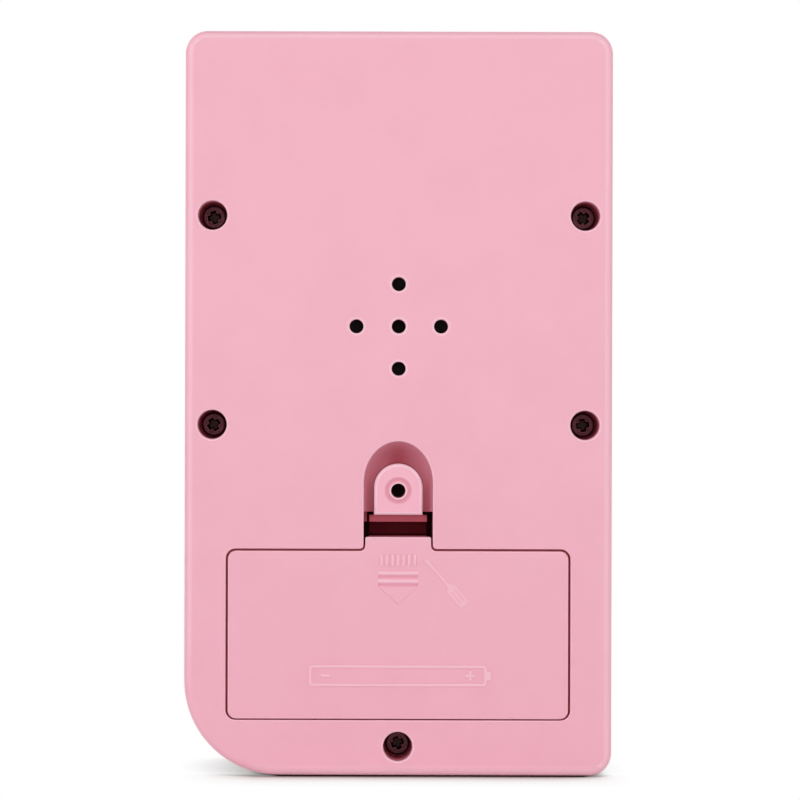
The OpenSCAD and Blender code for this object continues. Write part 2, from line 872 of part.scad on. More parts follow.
module speaker_leads() {
    start = speaker_in + basket_d - 0.8;
    pad = screw_middle_h - 0.1;
    for (side = [-1, 1]) color(side < 0 ? "firebrick" : "black") {
        x = 2.4 * side;
        lead([
            [x, start, terminal_h], [x, start + 1.2, terminal_h], [x, wall + ring_h + 3, terminal_h - 0.8],
            [x, board_rear - 6, pad + 1], [x, board_rear - 1.5, pad], [x, board_rear, pad]
        ]);
    }
}

// ---------------------------------------------------------------- circuit board

module main_board() {
    color("darkgreen") slab(board_rear, board_front) difference() {
        band(board_w, board_h, board_top);
        for (p = BOARD_SCREWS) disc(p, board_screw_r + part_gap);
    }
}

module board_screws() {
    color("silver") for (p = BOARD_SCREWS) difference() {
        union() {
            slab(board_rear - board_screw_head_t, board_rear) disc(p, board_screw_head_r);
            slab(board_rear - 0.2, board_rear + board_screw_len) disc(p, board_screw_r);
        }
        translate([p[0], board_rear - board_screw_head_t, p[1]])
            cross_recess(0.5, board_screw_head_r * 0.6, 0.5);
    }
}

// The chip lies under a drop of black resin.
module chip_blob() {
    color("black") translate([0, 0, chip_h]) plan(board_rear) rotate_extrude() polygon([
        for (a = [0:15:90]) [chip_r * cos(a), chip_t * sin(a)], [0, 0]
    ]);
}

module capacitor() {
    color("navy") slab(board_rear - capacitor_l, board_rear)
        disc([2 * chip_r + 1, chip_h + 1], capacitor_r);
}

module resistors() {
    reach = resistor_l / 2 + 1;
    lift = resistor_r + 0.2;
    color("tan") for (k = [-1:1]) translate([-2 * chip_r, 0, chip_h + k * resistor_pitch]) {
        translate([0, rear_y + board_rear - lift, 0]) rotate([0, 90, 0]) {
            cylinder(h = resistor_l, r = resistor_r, center = true);
            cylinder(h = 2 * reach, r = resistor_wire_r, center = true);
        }
        for (side = [-1, 1]) slab(board_rear - lift - 0.2, board_rear)
            disc([side * (reach - 0.2), 0], resistor_wire_r);
    }
}

// ---------------------------------------------------------------- screen

module screen_frame(w, h, open_w, open_h) {
    translate([0, screen_h]) difference() {
        square([w, h], center = true);
        square([open_w, open_h], center = true);
    }
}

module lcd_holder() {
    color("white") slab(board_front, front_in)
        screen_frame(holder_w, holder_h, glass_w + 2 * part_gap, glass_h + 2 * part_gap);
}

module zebra_strips() {
    y = (glass_h - zebra_w) / 2 - zebra_gap;
    color("dimgray") for (side = [-1, 1])
        slab(board_front, glass_rear)
            translate([0, screen_h + side * y]) square([glass_w - 2, zebra_w], center = true);
}

module lcd_reflector() {
    h = glass_h - 2 * zebra_w - 4 * zebra_gap;
    color("silver") slab(glass_rear - reflector_t, glass_rear)
        translate([0, screen_h]) square([glass_w - 2, h], center = true);
}

module lcd_glass() {
    color([0.6, 0.66, 0.55]) slab(glass_rear, glass_front)
        translate([0, screen_h]) square([glass_w, glass_h], center = true);
}

module lcd_gasket() {
    color([0.1, 0.1, 0.1]) slab(glass_front, front_in)
        screen_frame(glass_w, glass_h, view_w + 2 * gasket_margin, view_h + 2 * gasket_margin);
}

module screen_border() {
    color([0.2, 0.2, 0.25]) slab(border_d, lens_d) translate([0, screen_h]) difference() {
        round_rect(lens_w, lens_h, lens_r);
        square([view_w, view_h], center = true);
    }
}

module screen_lens() {
    color([0.8, 0.85, 0.9, 0.4]) slab(lens_d, case_d)
        translate([0, screen_h]) round_rect(lens_w, lens_h, lens_r);
}

// ---------------------------------------------------------------- keys

// A key with its flange behind the front wall and a rounded top.
module key(p, r) {
    top = case_d + key_proud - flange_d;
    e = 0.8;
    color([0.96, 0.93, 0.9]) translate([p[0], 0, p[1]]) plan(flange_d) mirror([0, 0, 1])
        rotate_extrude() polygon(concat(
            [[0, 0], [r + flange_rim, 0], [r + flange_rim, flange_t], [r, flange_t]],
            [for (a = [0:18:90]) [r - e + e * cos(a), top - e + e * sin(a)]],
            [[0, top]]
        ));
}

// A hollow rubber dome that pushes its key back out.
module dome(p, r) {
    h = dome_top - board_front - mat_t;
    translate([p[0], 0, p[1]]) plan(board_front + mat_t) mirror([0, 0, 1])
        cylinder(h = h, r1 = 0.8 * r, r2 = 0.55 * r);
}

module dome_hollow(p, r) {
    h = dome_top - board_front - 0.7;
    translate([p[0], 0, p[1]]) plan(board_front - 0.01) mirror([0, 0, 1])
        cylinder(h = h, r1 = 0.7 * r, r2 = 0.4 * r);
}

// A rubber mat on the board, with a dome under each key. Keys are [centre, radius].
module mat(middle, w, h, keys) {
    color([0.55, 0.55, 0.55]) difference() {
        union() {
            slab(board_front, board_front + mat_t) translate(middle) round_rect(w, h, 1.5);
            for (k = keys) dome(k[0], k[1]);
        }
        for (k = keys) dome_hollow(k[0], k[1]);
    }
}

module direction_mat() {
    w = 2 * (direction_pitch + direction_r);
    mat([direction_x, direction_h], w, w, [for (i = [0:3]) key_holes()[i]]);
}

module action_mat() {
    mat([-action_x, direction_h], 2 * action_r, 2 * action_r, [key_holes()[4]]);
}

module function_mat() {
    mat([0, function_h], 3 * function_pitch + 3 * function_r, 2.6 * function_r,
        [for (i = [5:8]) key_holes()[i]]);
}

module placed_key(i) {
    key(key_holes()[i][0], key_holes()[i][1]);
}

module key_up() { placed_key(0); }
module key_down() { placed_key(1); }
module key_left() { placed_key(2); }
module key_right() { placed_key(3); }
module key_action() { placed_key(4); }
module key_function_1() { placed_key(8); }
module key_function_2() { placed_key(7); }
module key_function_3() { placed_key(6); }
module key_function_4() { placed_key(5); }

// ---------------------------------------------------------------- assembly

rear_case();
front_case();
case_screws();
battery_cover();
battery_latch();
battery_upper();
battery_lower();
contact_positive();
contact_negative();
contact_bridge();
battery_leads();
speaker_frame();
speaker_cone();
speaker_magnet();
speaker_leads();
main_board();
board_screws();
chip_blob();
capacitor();
resistors();
lcd_holder();
zebra_strips();
lcd_reflector();
lcd_glass();
lcd_gasket();
screen_border();
screen_lens();
direction_mat();
action_mat();
function_mat();
key_up();
key_down();
key_left();
key_right();
key_action();
key_function_1();
key_function_2();
key_function_3();
key_function_4();
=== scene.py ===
"""A handheld brick game console in pink plastic, standing on its lower edge with its rear in front.

Sizes are millimetres in the part's own terms: x across, depth from the rear face towards the screen,
and height from the base. Bench turns them into the frame's metres.
"""

import logging
import math
from collections.abc import Callable, Sequence
from dataclasses import dataclass, field
from enum import Enum

import bmesh
import bpy
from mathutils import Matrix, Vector


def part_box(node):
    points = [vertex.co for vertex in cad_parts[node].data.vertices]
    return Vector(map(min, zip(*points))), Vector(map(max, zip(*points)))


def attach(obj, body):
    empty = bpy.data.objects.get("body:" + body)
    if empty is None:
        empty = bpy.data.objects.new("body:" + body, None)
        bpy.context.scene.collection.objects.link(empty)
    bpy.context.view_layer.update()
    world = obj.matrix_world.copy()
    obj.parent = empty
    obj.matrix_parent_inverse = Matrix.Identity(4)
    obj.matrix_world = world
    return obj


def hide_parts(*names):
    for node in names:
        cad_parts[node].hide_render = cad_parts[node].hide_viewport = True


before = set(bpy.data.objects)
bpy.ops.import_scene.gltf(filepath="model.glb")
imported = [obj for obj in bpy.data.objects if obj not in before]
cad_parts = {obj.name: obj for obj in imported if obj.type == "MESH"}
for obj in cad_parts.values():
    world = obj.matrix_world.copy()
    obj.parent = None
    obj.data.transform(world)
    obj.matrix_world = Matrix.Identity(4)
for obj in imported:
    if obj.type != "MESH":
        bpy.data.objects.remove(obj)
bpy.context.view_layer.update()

log = logging.getLogger("console")

Piece = bpy.types.Object
Material = bpy.types.Material
Socket = bpy.types.NodeSocket
Span = tuple[float, float]
Spot = tuple[float, float]
Triple = tuple[float, float, float]
Colour = tuple[float, float, float, float]
Where = Callable[[float, float], bool]
EdgeTest = Callable[[bmesh.types.BMEdge], bool]
FaceTest = Callable[[bmesh.types.BMFace], bool]

MM = 0.001  # a millimetre in the frame's unit
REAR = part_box("rear_case")[0].y / MM  # the rear face's place
NEAR = 1e-3  # places closer than this are one place
OVER = 1.0  # how far a cutter stands past what it cuts, and a solid goes into its neighbour
FLAT, TURNED = 0.999, 0.9  # how square to the depth a flat face is at least, and a side at most


class Join(Enum):
    """How one solid acts on another."""

    ADD = "UNION"
    CUT = "DIFFERENCE"


class Kind(Enum):
    """What is picked in edit mode."""

    EDGES = "EDGE"
    FACES = "FACE"


class Slot(Enum):
    """The record's material slots that the new pieces fill; nothing here reads them."""

    CASE = "pink_case"
    SCREW = "dark_steel"
    CELL = "cell_wrap"
    GLASS = "display_glass"
    LENS = "clear_lens"
    KEY = "key_plastic"


# ---------------------------------------------------------------- modelling


def place(co: Vector) -> Vector:
    """A mesh point as x, depth and height in millimetres."""
    return Vector((co.x / MM, co.y / MM - REAR, co.z / MM))


def span(middle: float, half: float) -> Span:
    """The two values that lie half a size below and above a middle."""
    return middle - half, middle + half


def anywhere(x: float, height: float) -> bool:
    """Accepts every place."""
    return True


def within(radius: float, *spots: Spot) -> Where:
    """Accepts the places that lie closer than a radius to one of the spots."""
    return lambda x, height: any(math.hypot(x - at[0], height - at[1]) < radius for at in spots)


class Pick:
    """Ready-made tests that choose edges and faces by their place."""

    @staticmethod
    def along_depth(where: Where = anywhere) -> EdgeTest:
        """Edges that run in depth.

        Args:
            where: accepts an edge's place as (x, height).

        Returns:
            The test.
        """

        def test(edge: bmesh.types.BMEdge) -> bool:
            """Accepts an edge that runs in depth."""
            a, b = (place(v.co) for v in edge.verts)
            return abs(a.x - b.x) < NEAR and abs(a.z - b.z) < NEAR and where(a.x, a.z)

        return test

    @classmethod
    def mirrored(cls, half: float, height: float) -> EdgeTest:
        """Edges that run in depth at one height, both left and right of the middle."""
        return cls.along_depth(lambda x, h: abs(abs(x) - half) < NEAR and abs(h - height) < NEAR)

    @staticmethod
    def on_plane(depth: float, where: Where = anywhere) -> EdgeTest:
        """Edges where a flat face at a depth ends in a sharp turn.

        Args:
            depth: the depth of the flat face.
            where: accepts the middle of an edge as (x, height).

        Returns:
            The test.
        """

        def test(edge: bmesh.types.BMEdge) -> bool:
            """Looks at the two faces of an edge.

            Args:
                edge: the edge.

            Returns:
                Whether the flat face ends in a sharp turn there.
            """
            a, b = (place(v.co) for v in edge.verts)
            if max(abs(a.y - depth), abs(b.y - depth)) > NEAR or len(edge.link_faces) != 2:
                return False
            side, flat = sorted(abs(f.normal.y) for f in edge.link_faces)
            middle = (a + b) / 2
            return flat >= FLAT and side <= TURNED and where(middle.x, middle.z)

        return test

    @staticmethod
    def flat_at(depth: float) -> FaceTest:
        """Faces that lie flat at a depth."""
        return lambda face: all(abs(place(v.co).y - depth) < NEAR for v in face.verts)

    @classmethod
    def cap_at(cls, depth: float) -> FaceTest:
        """The many-sided face among those that lie flat at a depth."""
        return lambda face: len(face.verts) > 4 and cls.flat_at(depth)(face)


class Bench:
    """Modelling with operators, in the part's terms and in millimetres."""

    @staticmethod
    def spot(x: float, depth: float, height: float) -> Vector:
        """A point of the frame, in metres."""
        return Vector((x, REAR + depth, height)) * MM

    @staticmethod
    def rest() -> None:
        """Leaves edit mode with nothing selected."""
        if bpy.context.mode != "OBJECT":
            bpy.ops.object.mode_set(mode="OBJECT")
        bpy.ops.object.select_all(action="DESELECT")

    @classmethod
    def hold(cls, obj: Piece) -> None:
        """Selects one object and makes it the active one.

        Args:
            obj: the object.
        """
        cls.rest()
        obj.select_set(True)
        bpy.context.view_layer.objects.active = obj

    @classmethod
    def grasp(cls, obj: Piece, action: str = "SELECT") -> None:
        """Enters edit mode with all of an object selected, or nothing of it.

        Args:
            obj: the object.
            action: SELECT or DESELECT.
        """
        cls.hold(obj)
        bpy.ops.object.mode_set(mode="EDIT")
        bpy.ops.mesh.select_all(action=action)

    @classmethod
    def pick(cls, obj: Piece, kind: Kind, test: EdgeTest | FaceTest) -> int:
        """Enters edit mode with the chosen edges or faces selected.

        Args:
            obj: the piece.
            kind: what is picked.
            test: accepts an edge or a face.

        Returns:
            How many were picked.
        """
        cls.grasp(obj, "DESELECT")
        bpy.ops.mesh.select_mode(type=kind.value)
        mesh = bmesh.from_edit_mesh(obj.data)
        chosen = [e for e in (mesh.edges if kind is Kind.EDGES else mesh.faces) if test(e)]
        for element in chosen:
            element.select_set(True)
        bmesh.update_edit_mesh(obj.data)
        return len(chosen)

    @staticmethod
    def pull(depth: float = 0.0, height: float = 0.0) -> None:
        """Extrudes the picked faces."""
        bpy.ops.mesh.extrude_region_move(TRANSFORM_OT_translate={"value": (0, depth * MM, height * MM)})

    @classmethod
    def stretch(cls, x: float, height: float, level: float = 0.0) -> None:
        """Scales what is picked across and in height, about the point at x = 0 on a level."""
        bpy.ops.transform.resize(value=(x, 1, height), center_override=cls.spot(0, 0, level))

    @classmethod
    def settle(cls, name: str) -> Piece:
        """Names the new object and moves its place into its mesh.

        Args:
            name: the object's name.

        Returns:
            The object.
        """
        obj = bpy.context.object
        obj.name = obj.data.name = name
        bpy.ops.object.transform_apply(location=True, rotation=True, scale=True)
        return obj

    @classmethod
    def block(cls, name: str, x: Span, depth: Span, height: Span) -> Piece:
        """A block between two values each way.

        Args:
            name: the object's name.
            x: where it starts and ends across.
            depth: where it starts and ends in depth.
            height: where it starts and ends in height.

        Returns:
            The block.
        """
        cls.rest()
        middle = [(s[0] + s[1]) / 2 for s in (x, depth, height)]
        bpy.ops.mesh.primitive_cube_add(size=1, location=cls.spot(*middle))
        bpy.context.object.scale = [(s[1] - s[0]) * MM for s in (x, depth, height)]
        return cls.settle(name)

    @classmethod
    def plate(
        cls, name: str, height: float, size: Spot, depth: Span, corner: float = 0.0, steps: int = 6
    ) -> Piece:
        """A plate whose middle is at x = 0, with round corners.

        Args:
            name: the object's name.
            height: the height of its middle.
            size: its width and height.
            depth: where it starts and ends.
            corner: the radius of its corners.
            steps: the faces round a corner.

        Returns:
            The plate.
        """
        body = cls.block(name, span(0, size[0] / 2), depth, span(height, size[1] / 2))
        return cls.round_off(body, Pick.along_depth(), corner, steps) if corner else body

    @classmethod
    def rod(
        cls, name: str, at: Spot, radius: float, depth: Span, sides: int = 48, far: float | None = None
    ) -> Piece:
        """A rod that runs in depth.

        Args:
            name: the object's name.
            at: the axis as (x, height).
            radius: the radius at its rear end.
            depth: where it starts and ends.
            sides: the number of its sides.
            far: the radius at its other end, if it tapers.

        Returns:
            The rod.
        """
        cls.rest()
        bpy.ops.mesh.primitive_cone_add(
            vertices=sides,
            radius1=radius * MM,
            radius2=(radius if far is None else far) * MM,
            depth=(depth[1] - depth[0]) * MM,
            location=cls.spot(at[0], (depth[0] + depth[1]) / 2, at[1]),
            rotation=(-math.pi / 2, 0, 0),
        )
        return cls.settle(name)

    @classmethod
    def rods(cls, name: str, spots: Sequence[Spot], radius: float, depth: Span, sides: int) -> Piece:
        """Equal rods in several places, as one mesh."""
        return cls.gather(name, [cls.rod(name, at, radius, depth, sides) for at in spots])

    @classmethod
    def arch(
        cls, name: str, half_w: float, base: float, straight: float, rise: float, depth: Span
    ) -> Piece:
        """A solid with straight sides and a round or egg-shaped top.

        Args:
            name: the object's name.
            half_w: half its width.
            base: the height of its lower edge.
            straight: the height where its arch starts.
            rise: the rise of its arch.
            depth: where it starts and ends.

        Returns:
            The solid.
        """
        top = cls.rod(name, (0, straight), half_w, depth, 72)
        cls.grasp(top)
        cls.stretch(1, rise / half_w, straight)
        cls.cut_away(top, (0, 0, straight), (0, 0, -1))
        cls.pick(top, Kind.FACES, lambda f: all(abs(place(v.co).z - straight) < NEAR for v in f.verts))
        cls.pull(height=base - straight)
        cls.rest()
        return top

    @classmethod
    def round_off(cls, obj: Piece, test: EdgeTest, radius: float, steps: int) -> Piece:
        """Rounds the chosen edges.

        Args:
            obj: the piece.
            test: chooses the edges.
            radius: the radius.
            steps: the faces across a rounded edge.

        Returns:
            The piece.
        """
        if cls.pick(obj, Kind.EDGES, test):
            bpy.ops.mesh.bevel(
                offset=radius * MM, offset_type="OFFSET", segments=steps, profile=0.5, affect="EDGES"
            )
        cls.rest()
        return obj

    @classmethod
    def step(cls, obj: Piece, test: FaceTest, inset: float, move: float) -> None:
        """Insets the chosen flat face, then extrudes it in depth.

        Args:
            obj: the piece.
            test: chooses the face.
            inset: how far the face shrinks.
            move: how far it goes towards the screen; below zero towards the rear.
        """
        if not cls.pick(obj, Kind.FACES, test):
            raise ValueError(f"{obj.name} has no face to step")
        bpy.ops.mesh.inset(thickness=inset * MM)
        if move:
            cls.pull(move)
        cls.rest()

    @classmethod
    def move(cls, obj: Piece, to: Triple, degrees: float = 0.0, axis: str = "Y") -> Piece:
        """Turns a whole piece about the point where x, depth and height are 0, then moves it.

        Args:
            obj: the piece.
            to: how far it goes across, in depth and in height.
            degrees: how far it turns.
            axis: the axis that it turns about.

        Returns:
            The piece.
        """
        cls.grasp(obj)
        if degrees:
            bpy.ops.transform.rotate(
                value=math.radians(degrees), orient_axis=axis, center_override=cls.spot(0, 0, 0)
            )
        bpy.ops.transform.translate(value=Vector(to) * MM)
        cls.rest()
        return obj

    @classmethod
    def cut_away(cls, obj: Piece, at: Triple, away: Triple) -> None:
        """Cuts off what lies beyond a plane, and closes the piece again.

        Args:
            obj: the piece.
            at: a point of the plane, as x, depth and height.
            away: the direction of the side that goes.
        """
        cls.grasp(obj)
        bpy.ops.mesh.bisect(
            plane_co=cls.spot(*at), plane_no=Vector(away).normalized(), use_fill=True, clear_outer=True
        )
        cls.rest()

    @classmethod
    def gather(cls, name: str, parts: Sequence[Piece]) -> Piece:
        """Joins solids into one mesh as they are.

        Args:
            name: the mesh's name.
            parts: the solids, two or more.

        Returns:
            The one object that is left.
        """
        cls.rest()
        for part in parts:
            part.select_set(True)
        bpy.context.view_layer.objects.active = parts[0]
        bpy.ops.object.join()
        parts[0].name = parts[0].data.name = name
        return parts[0]

    @classmethod
    def combine(cls, obj: Piece, how: Join, *others: Piece) -> Piece:
        """Adds solids to a piece or cuts them out of it, and uses them up.

        Args:
            obj: the piece.
            how: what the others do to it.
            others: the solids, one after another.

        Returns:
            The piece.
        """
        for other in others:
            cls.hold(obj)
            tool = obj.modifiers.new("combine", "BOOLEAN")
            tool.operation, tool.solver, tool.object = how.value, "EXACT", other
            bpy.ops.object.modifier_apply(modifier=tool.name)
            cls.drop(other)
        return obj

    @staticmethod
    def copy_of(obj: Piece, name: str) -> Piece:
        """A copy with its own mesh.

        Args:
            obj: the model.
            name: the copy's name.

        Returns:
            The copy.
        """
        twin = obj.copy()
        twin.data = obj.data.copy()
        twin.name = twin.data.name = name
        bpy.context.scene.collection.objects.link(twin)
        return twin

    @staticmethod
    def drop(obj: Piece) -> None:
        """Removes a tool that is used up or a model that has been copied, together with its mesh."""
        bpy.data.meshes.remove(obj.data)

    @classmethod
    def tidy(cls, obj: Piece) -> None:
        """Merges what lies in one place and makes the faces look outwards.

        Args:
            obj: the piece.
        """
        cls.grasp(obj)
        bpy.ops.mesh.remove_doubles(threshold=2e-6)
        bpy.ops.mesh.normals_make_consistent(inside=False)
        cls.rest()

    @classmethod
    def smooth(cls, obj: Piece, angle: float = 40) -> Piece:
        """Shades a piece smooth, with its flat faces kept flat.

        Args:
            obj: the piece.
            angle: the angle in degrees above which an edge stays sharp.

        Returns:
            The piece.
        """
        cls.hold(obj)
        bpy.ops.object.shade_smooth_by_angle(angle=math.radians(angle))
        weigh = obj.modifiers.new("flat_faces", "WEIGHTED_NORMAL")
        weigh.mode, weigh.keep_sharp, weigh.weight = "FACE_AREA", True, 100
        bpy.ops.object.modifier_apply(modifier=weigh.name)
        cls.rest()
        return obj


# ---------------------------------------------------------------- finishes


class Signal:
    """A shader value that adds a Math node for each step of an expression."""

    def __init__(self, net: "Net", socket: Socket) -> None:
        """Wraps an output socket of a net."""
        self.net = net
        self.socket = socket

    def _math(self, operation: str, first: "Value", second: "Value" = 0.0) -> "Signal":
        """One Math node on two values."""
        node = self.net.add("ShaderNodeMath", {"operation": operation}, {0: first, 1: second})
        return Signal(self.net, node.outputs[0])

    def __add__(self, other: "Value") -> "Signal":
        """self + other."""
        return self._math("ADD", self, other)

    def __radd__(self, other: "Value") -> "Signal":
        """other + self."""
        return self._math("ADD", other, self)

    def __sub__(self, other: "Value") -> "Signal":
        """self - other."""
        return self._math("SUBTRACT", self, other)

    def __rsub__(self, other: "Value") -> "Signal":
        """other - self."""
        return self._math("SUBTRACT", other, self)

    def __mul__(self, other: "Value") -> "Signal":
        """self * other."""
        return self._math("MULTIPLY", self, other)

    def __rmul__(self, other: "Value") -> "Signal":
        """other * self."""
        return self._math("MULTIPLY", other, self)

    def __gt__(self, other: "Value") -> "Signal":
        """1 where self is above other, otherwise 0."""
        return self._math("GREATER_THAN", self, other)

    def __lt__(self, other: "Value") -> "Signal":
        """1 where self is below other, otherwise 0."""
        return self._math("LESS_THAN", self, other)

    def __abs__(self) -> "Signal":
        """The value without its sign."""
        return self._math("ABSOLUTE", self)

    def root(self) -> "Signal":
        """The square root."""
        return self._math("SQRT", self)

    def repeat(self, length: float) -> "Signal":
        """The value within one period of a length, also where it is as far below zero as 100 periods."""
        return self._math("MODULO", self + 100 * length, length)

    def wider(self, other: "Value") -> "Signal":
        """The larger of the two."""
        return self._math("MAXIMUM", self, other)

    def rise(self, low: float, high: float) -> "Signal":
        """0 up to a low value, 1 from a high one, and straight between them."""
        node = self.net.add("ShaderNodeMapRange", {"clamp": True}, {0: self, 1: low, 2: high})
        return Signal(self.net, node.outputs[0])

    def fall(self, low: float, high: float) -> "Signal":
        """1 up to a low value, 0 from a high one, and straight between them."""
        return 1 - self.rise(low, high)

    def swing(self, amount: float) -> "Signal":
        """How far a noise is from its middle, times an amount."""
        return (self - 0.5) * amount


Value = Signal | Socket | float | tuple[float, ...]


def linear(c: float) -> float:
    """A screen's channel from 0 to 1 as the linear value that a shader takes."""
    return c / 12.92 if c <= 0.04045 else ((c + 0.055) / 1.055) ** 2.4


def tone(red: int, green: int, blue: int) -> Colour:
    """A screen colour from 0 to 255 as the linear colour that a shader takes."""
    return (linear(red / 255), linear(green / 255), linear(blue / 255), 1.0)


class Net:
    """The node tree of one material or world."""

    def __init__(self, owner: Material | bpy.types.World) -> None:
        """Wraps the owner's nodes."""
        owner.use_nodes = True
        self.owner, self.tree = owner, owner.node_tree

    @classmethod
    def fresh(cls, name: str) -> "Net":
        """The net of a new material."""
        return cls(bpy.data.materials.new(name))

    def node(self, name: str) -> bpy.types.Node:
        """One of the nodes that the tree starts with."""
        return self.tree.nodes[name]

    def add(
        self, kind: str, settings: dict[str, object] | None = None,
        inputs: dict[int | str, Value] | None = None,
    ) -> bpy.types.Node:
        """Adds a node.

        Args:
            kind: the node's type.
            settings: its own settings; "stops" fills a colour ramp.
            inputs: a value or a link for each socket.

        Returns:
            The node.
        """
        node = self.tree.nodes.new(kind)
        for key, value in (settings or {}).items():
            if key == "stops":
                ramp = node.color_ramp
                while len(ramp.elements) < len(value):
                    ramp.elements.new(0.5)
                for element, (at, colour) in zip(ramp.elements, value):
                    element.position, element.color = at, colour
            else:
                setattr(node, key, value)
        for key, value in (inputs or {}).items():
            self.join(node.inputs[key], value)
        return node

    def join(self, socket: Socket, value: Value) -> None:
        """Links a socket, or sets it where the value is a number or a colour.

        Args:
            socket: the input.
            value: what it gets.
        """
        if isinstance(value, Signal):
            value = value.socket
        if isinstance(value, Socket):
            self.tree.links.new(value, socket)
        else:
            socket.default_value = value

    def where(self) -> Socket:
        """The place on the object, in metres."""
        return self.add("ShaderNodeTexCoord").outputs["Object"]

    def axes(self) -> tuple[Signal, Signal, Signal]:
        """The place on the object as three values in millimetres."""
        parts = self.add("ShaderNodeSeparateXYZ", inputs={0: self.where()})
        return tuple(Signal(self, out) * (1 / MM) for out in parts.outputs[:3])

    def noise(self, size: float, detail: float = 2.0, stretch: Triple = (1, 1, 1)) -> Signal:
        """Noise from 0 to 1.

        Args:
            size: the size of its grains, in millimetres.
            detail: how fine the grain in the grains is.
            stretch: how much denser it is along each axis.

        Returns:
            The noise.
        """
        spread = self.add(
            "ShaderNodeMapping", {"vector_type": "POINT"}, {"Vector": self.where(), "Scale": stretch}
        )
        node = self.add(
            "ShaderNodeTexNoise", {"noise_dimensions": "3D"},
            {"Vector": spread.outputs[0], "Scale": 1 / (size * MM), "Detail": detail},
        )
        return Signal(self, node.outputs[0])

    def mix(self, factor: Value, first: Value, second: Value) -> Socket:
        """A colour between two."""
        sockets = {0: factor, 6: first, 7: second}
        return self.add("ShaderNodeMix", {"data_type": "RGBA"}, sockets).outputs[2]

    def bump(self, height: Value, strength: float, distance: float) -> Socket:
        """A bump of a distance in millimetres."""
        sockets = {"Height": height, "Strength": strength, "Distance": distance * MM}
        return self.add("ShaderNodeBump", inputs=sockets).outputs[0]

    def finish(self, **sockets: Value) -> Material:
        """Sets the Principled shader's sockets.

        Args:
            sockets: their values, under their names with underlines for spaces.

        Returns:
            The material.
        """
        shader = self.node("Principled BSDF")
        for key, value in sockets.items():
            self.join(shader.inputs[key.replace("_", " ").title().replace("Ior", "IOR")], value)
        return self.owner


@dataclass(frozen=True)
class Site:
    """Where a point of the case lies, with its depth from the outer face."""

    x: Signal
    z: Signal
    depth: Signal

    @classmethod
    def on(cls, net: Net, face: float = 0.0, way: int = 1) -> "Site":
        """The place of the point that is shaded.

        Args:
            net: the material's nodes.
            face: the depth of the outer face.
            way: 1 where the case lies beyond that face, -1 where it lies before it.

        Returns:
            The place.
        """
        x, y, z = net.axes()
        return cls(x, z, (y - (REAR + face)) * way)

    def patch(self, size: Triple) -> Signal:
        """1 in a rectangle, given as half its width, its middle's height and half its height."""
        half_w, middle, half_h = size
        return (abs(self.x) < half_w) * (abs(self.z - middle) < half_h)

    def away(self, x: float, z: float) -> Signal:
        """The distance from a spot of the face."""
        across, up = self.x - x, self.z - z
        return (across * across + up * up).root()


@dataclass(frozen=True)
class Finish:
    """What every finish has: a name, and a method that makes its material."""

    name: str

    def build(self) -> Material:
        """Makes the material."""
        raise NotImplementedError


@dataclass(frozen=True)
class MouldedPlastic(Finish):
    """Satin plastic as it comes from the mould: fine grain, faint clouding, small rubbed spots."""

    colour: Colour
    shade: Colour
    roughness: float = 0.34
    grain: float = 0.16
    grain_depth: float = 0.006
    cloud: float = 9.0
    ripple: float = 2.2
    rub: float = 0.9

    def surface(self, net: Net) -> tuple[Socket, Signal]:
        """Lays the clouds over the colour.

        Args:
            net: the material's nodes.

        Returns:
            The colour and the roughness.
        """
        cloud = net.noise(self.cloud, 3.0)
        rubbed = net.noise(self.rub, 4.0)
        mask = (cloud * 0.7 + net.noise(self.ripple) * 0.3 - 0.38) * 2.2
        return net.mix(mask, self.colour, self.shade), self.roughness + cloud.swing(0.1) + rubbed.swing(0.08)

    def build(self) -> Material:
        """Makes the material.

        Returns:
            The material.
        """
        net = Net.fresh(self.name)
        colour, roughness = self.surface(net)
        grain = net.noise(self.grain, 1.0) + net.noise(self.ripple) * 0.35
        return net.finish(
            base_color=colour, roughness=roughness, normal=net.bump(grain, 0.35, self.grain_depth), ior=1.46
        )


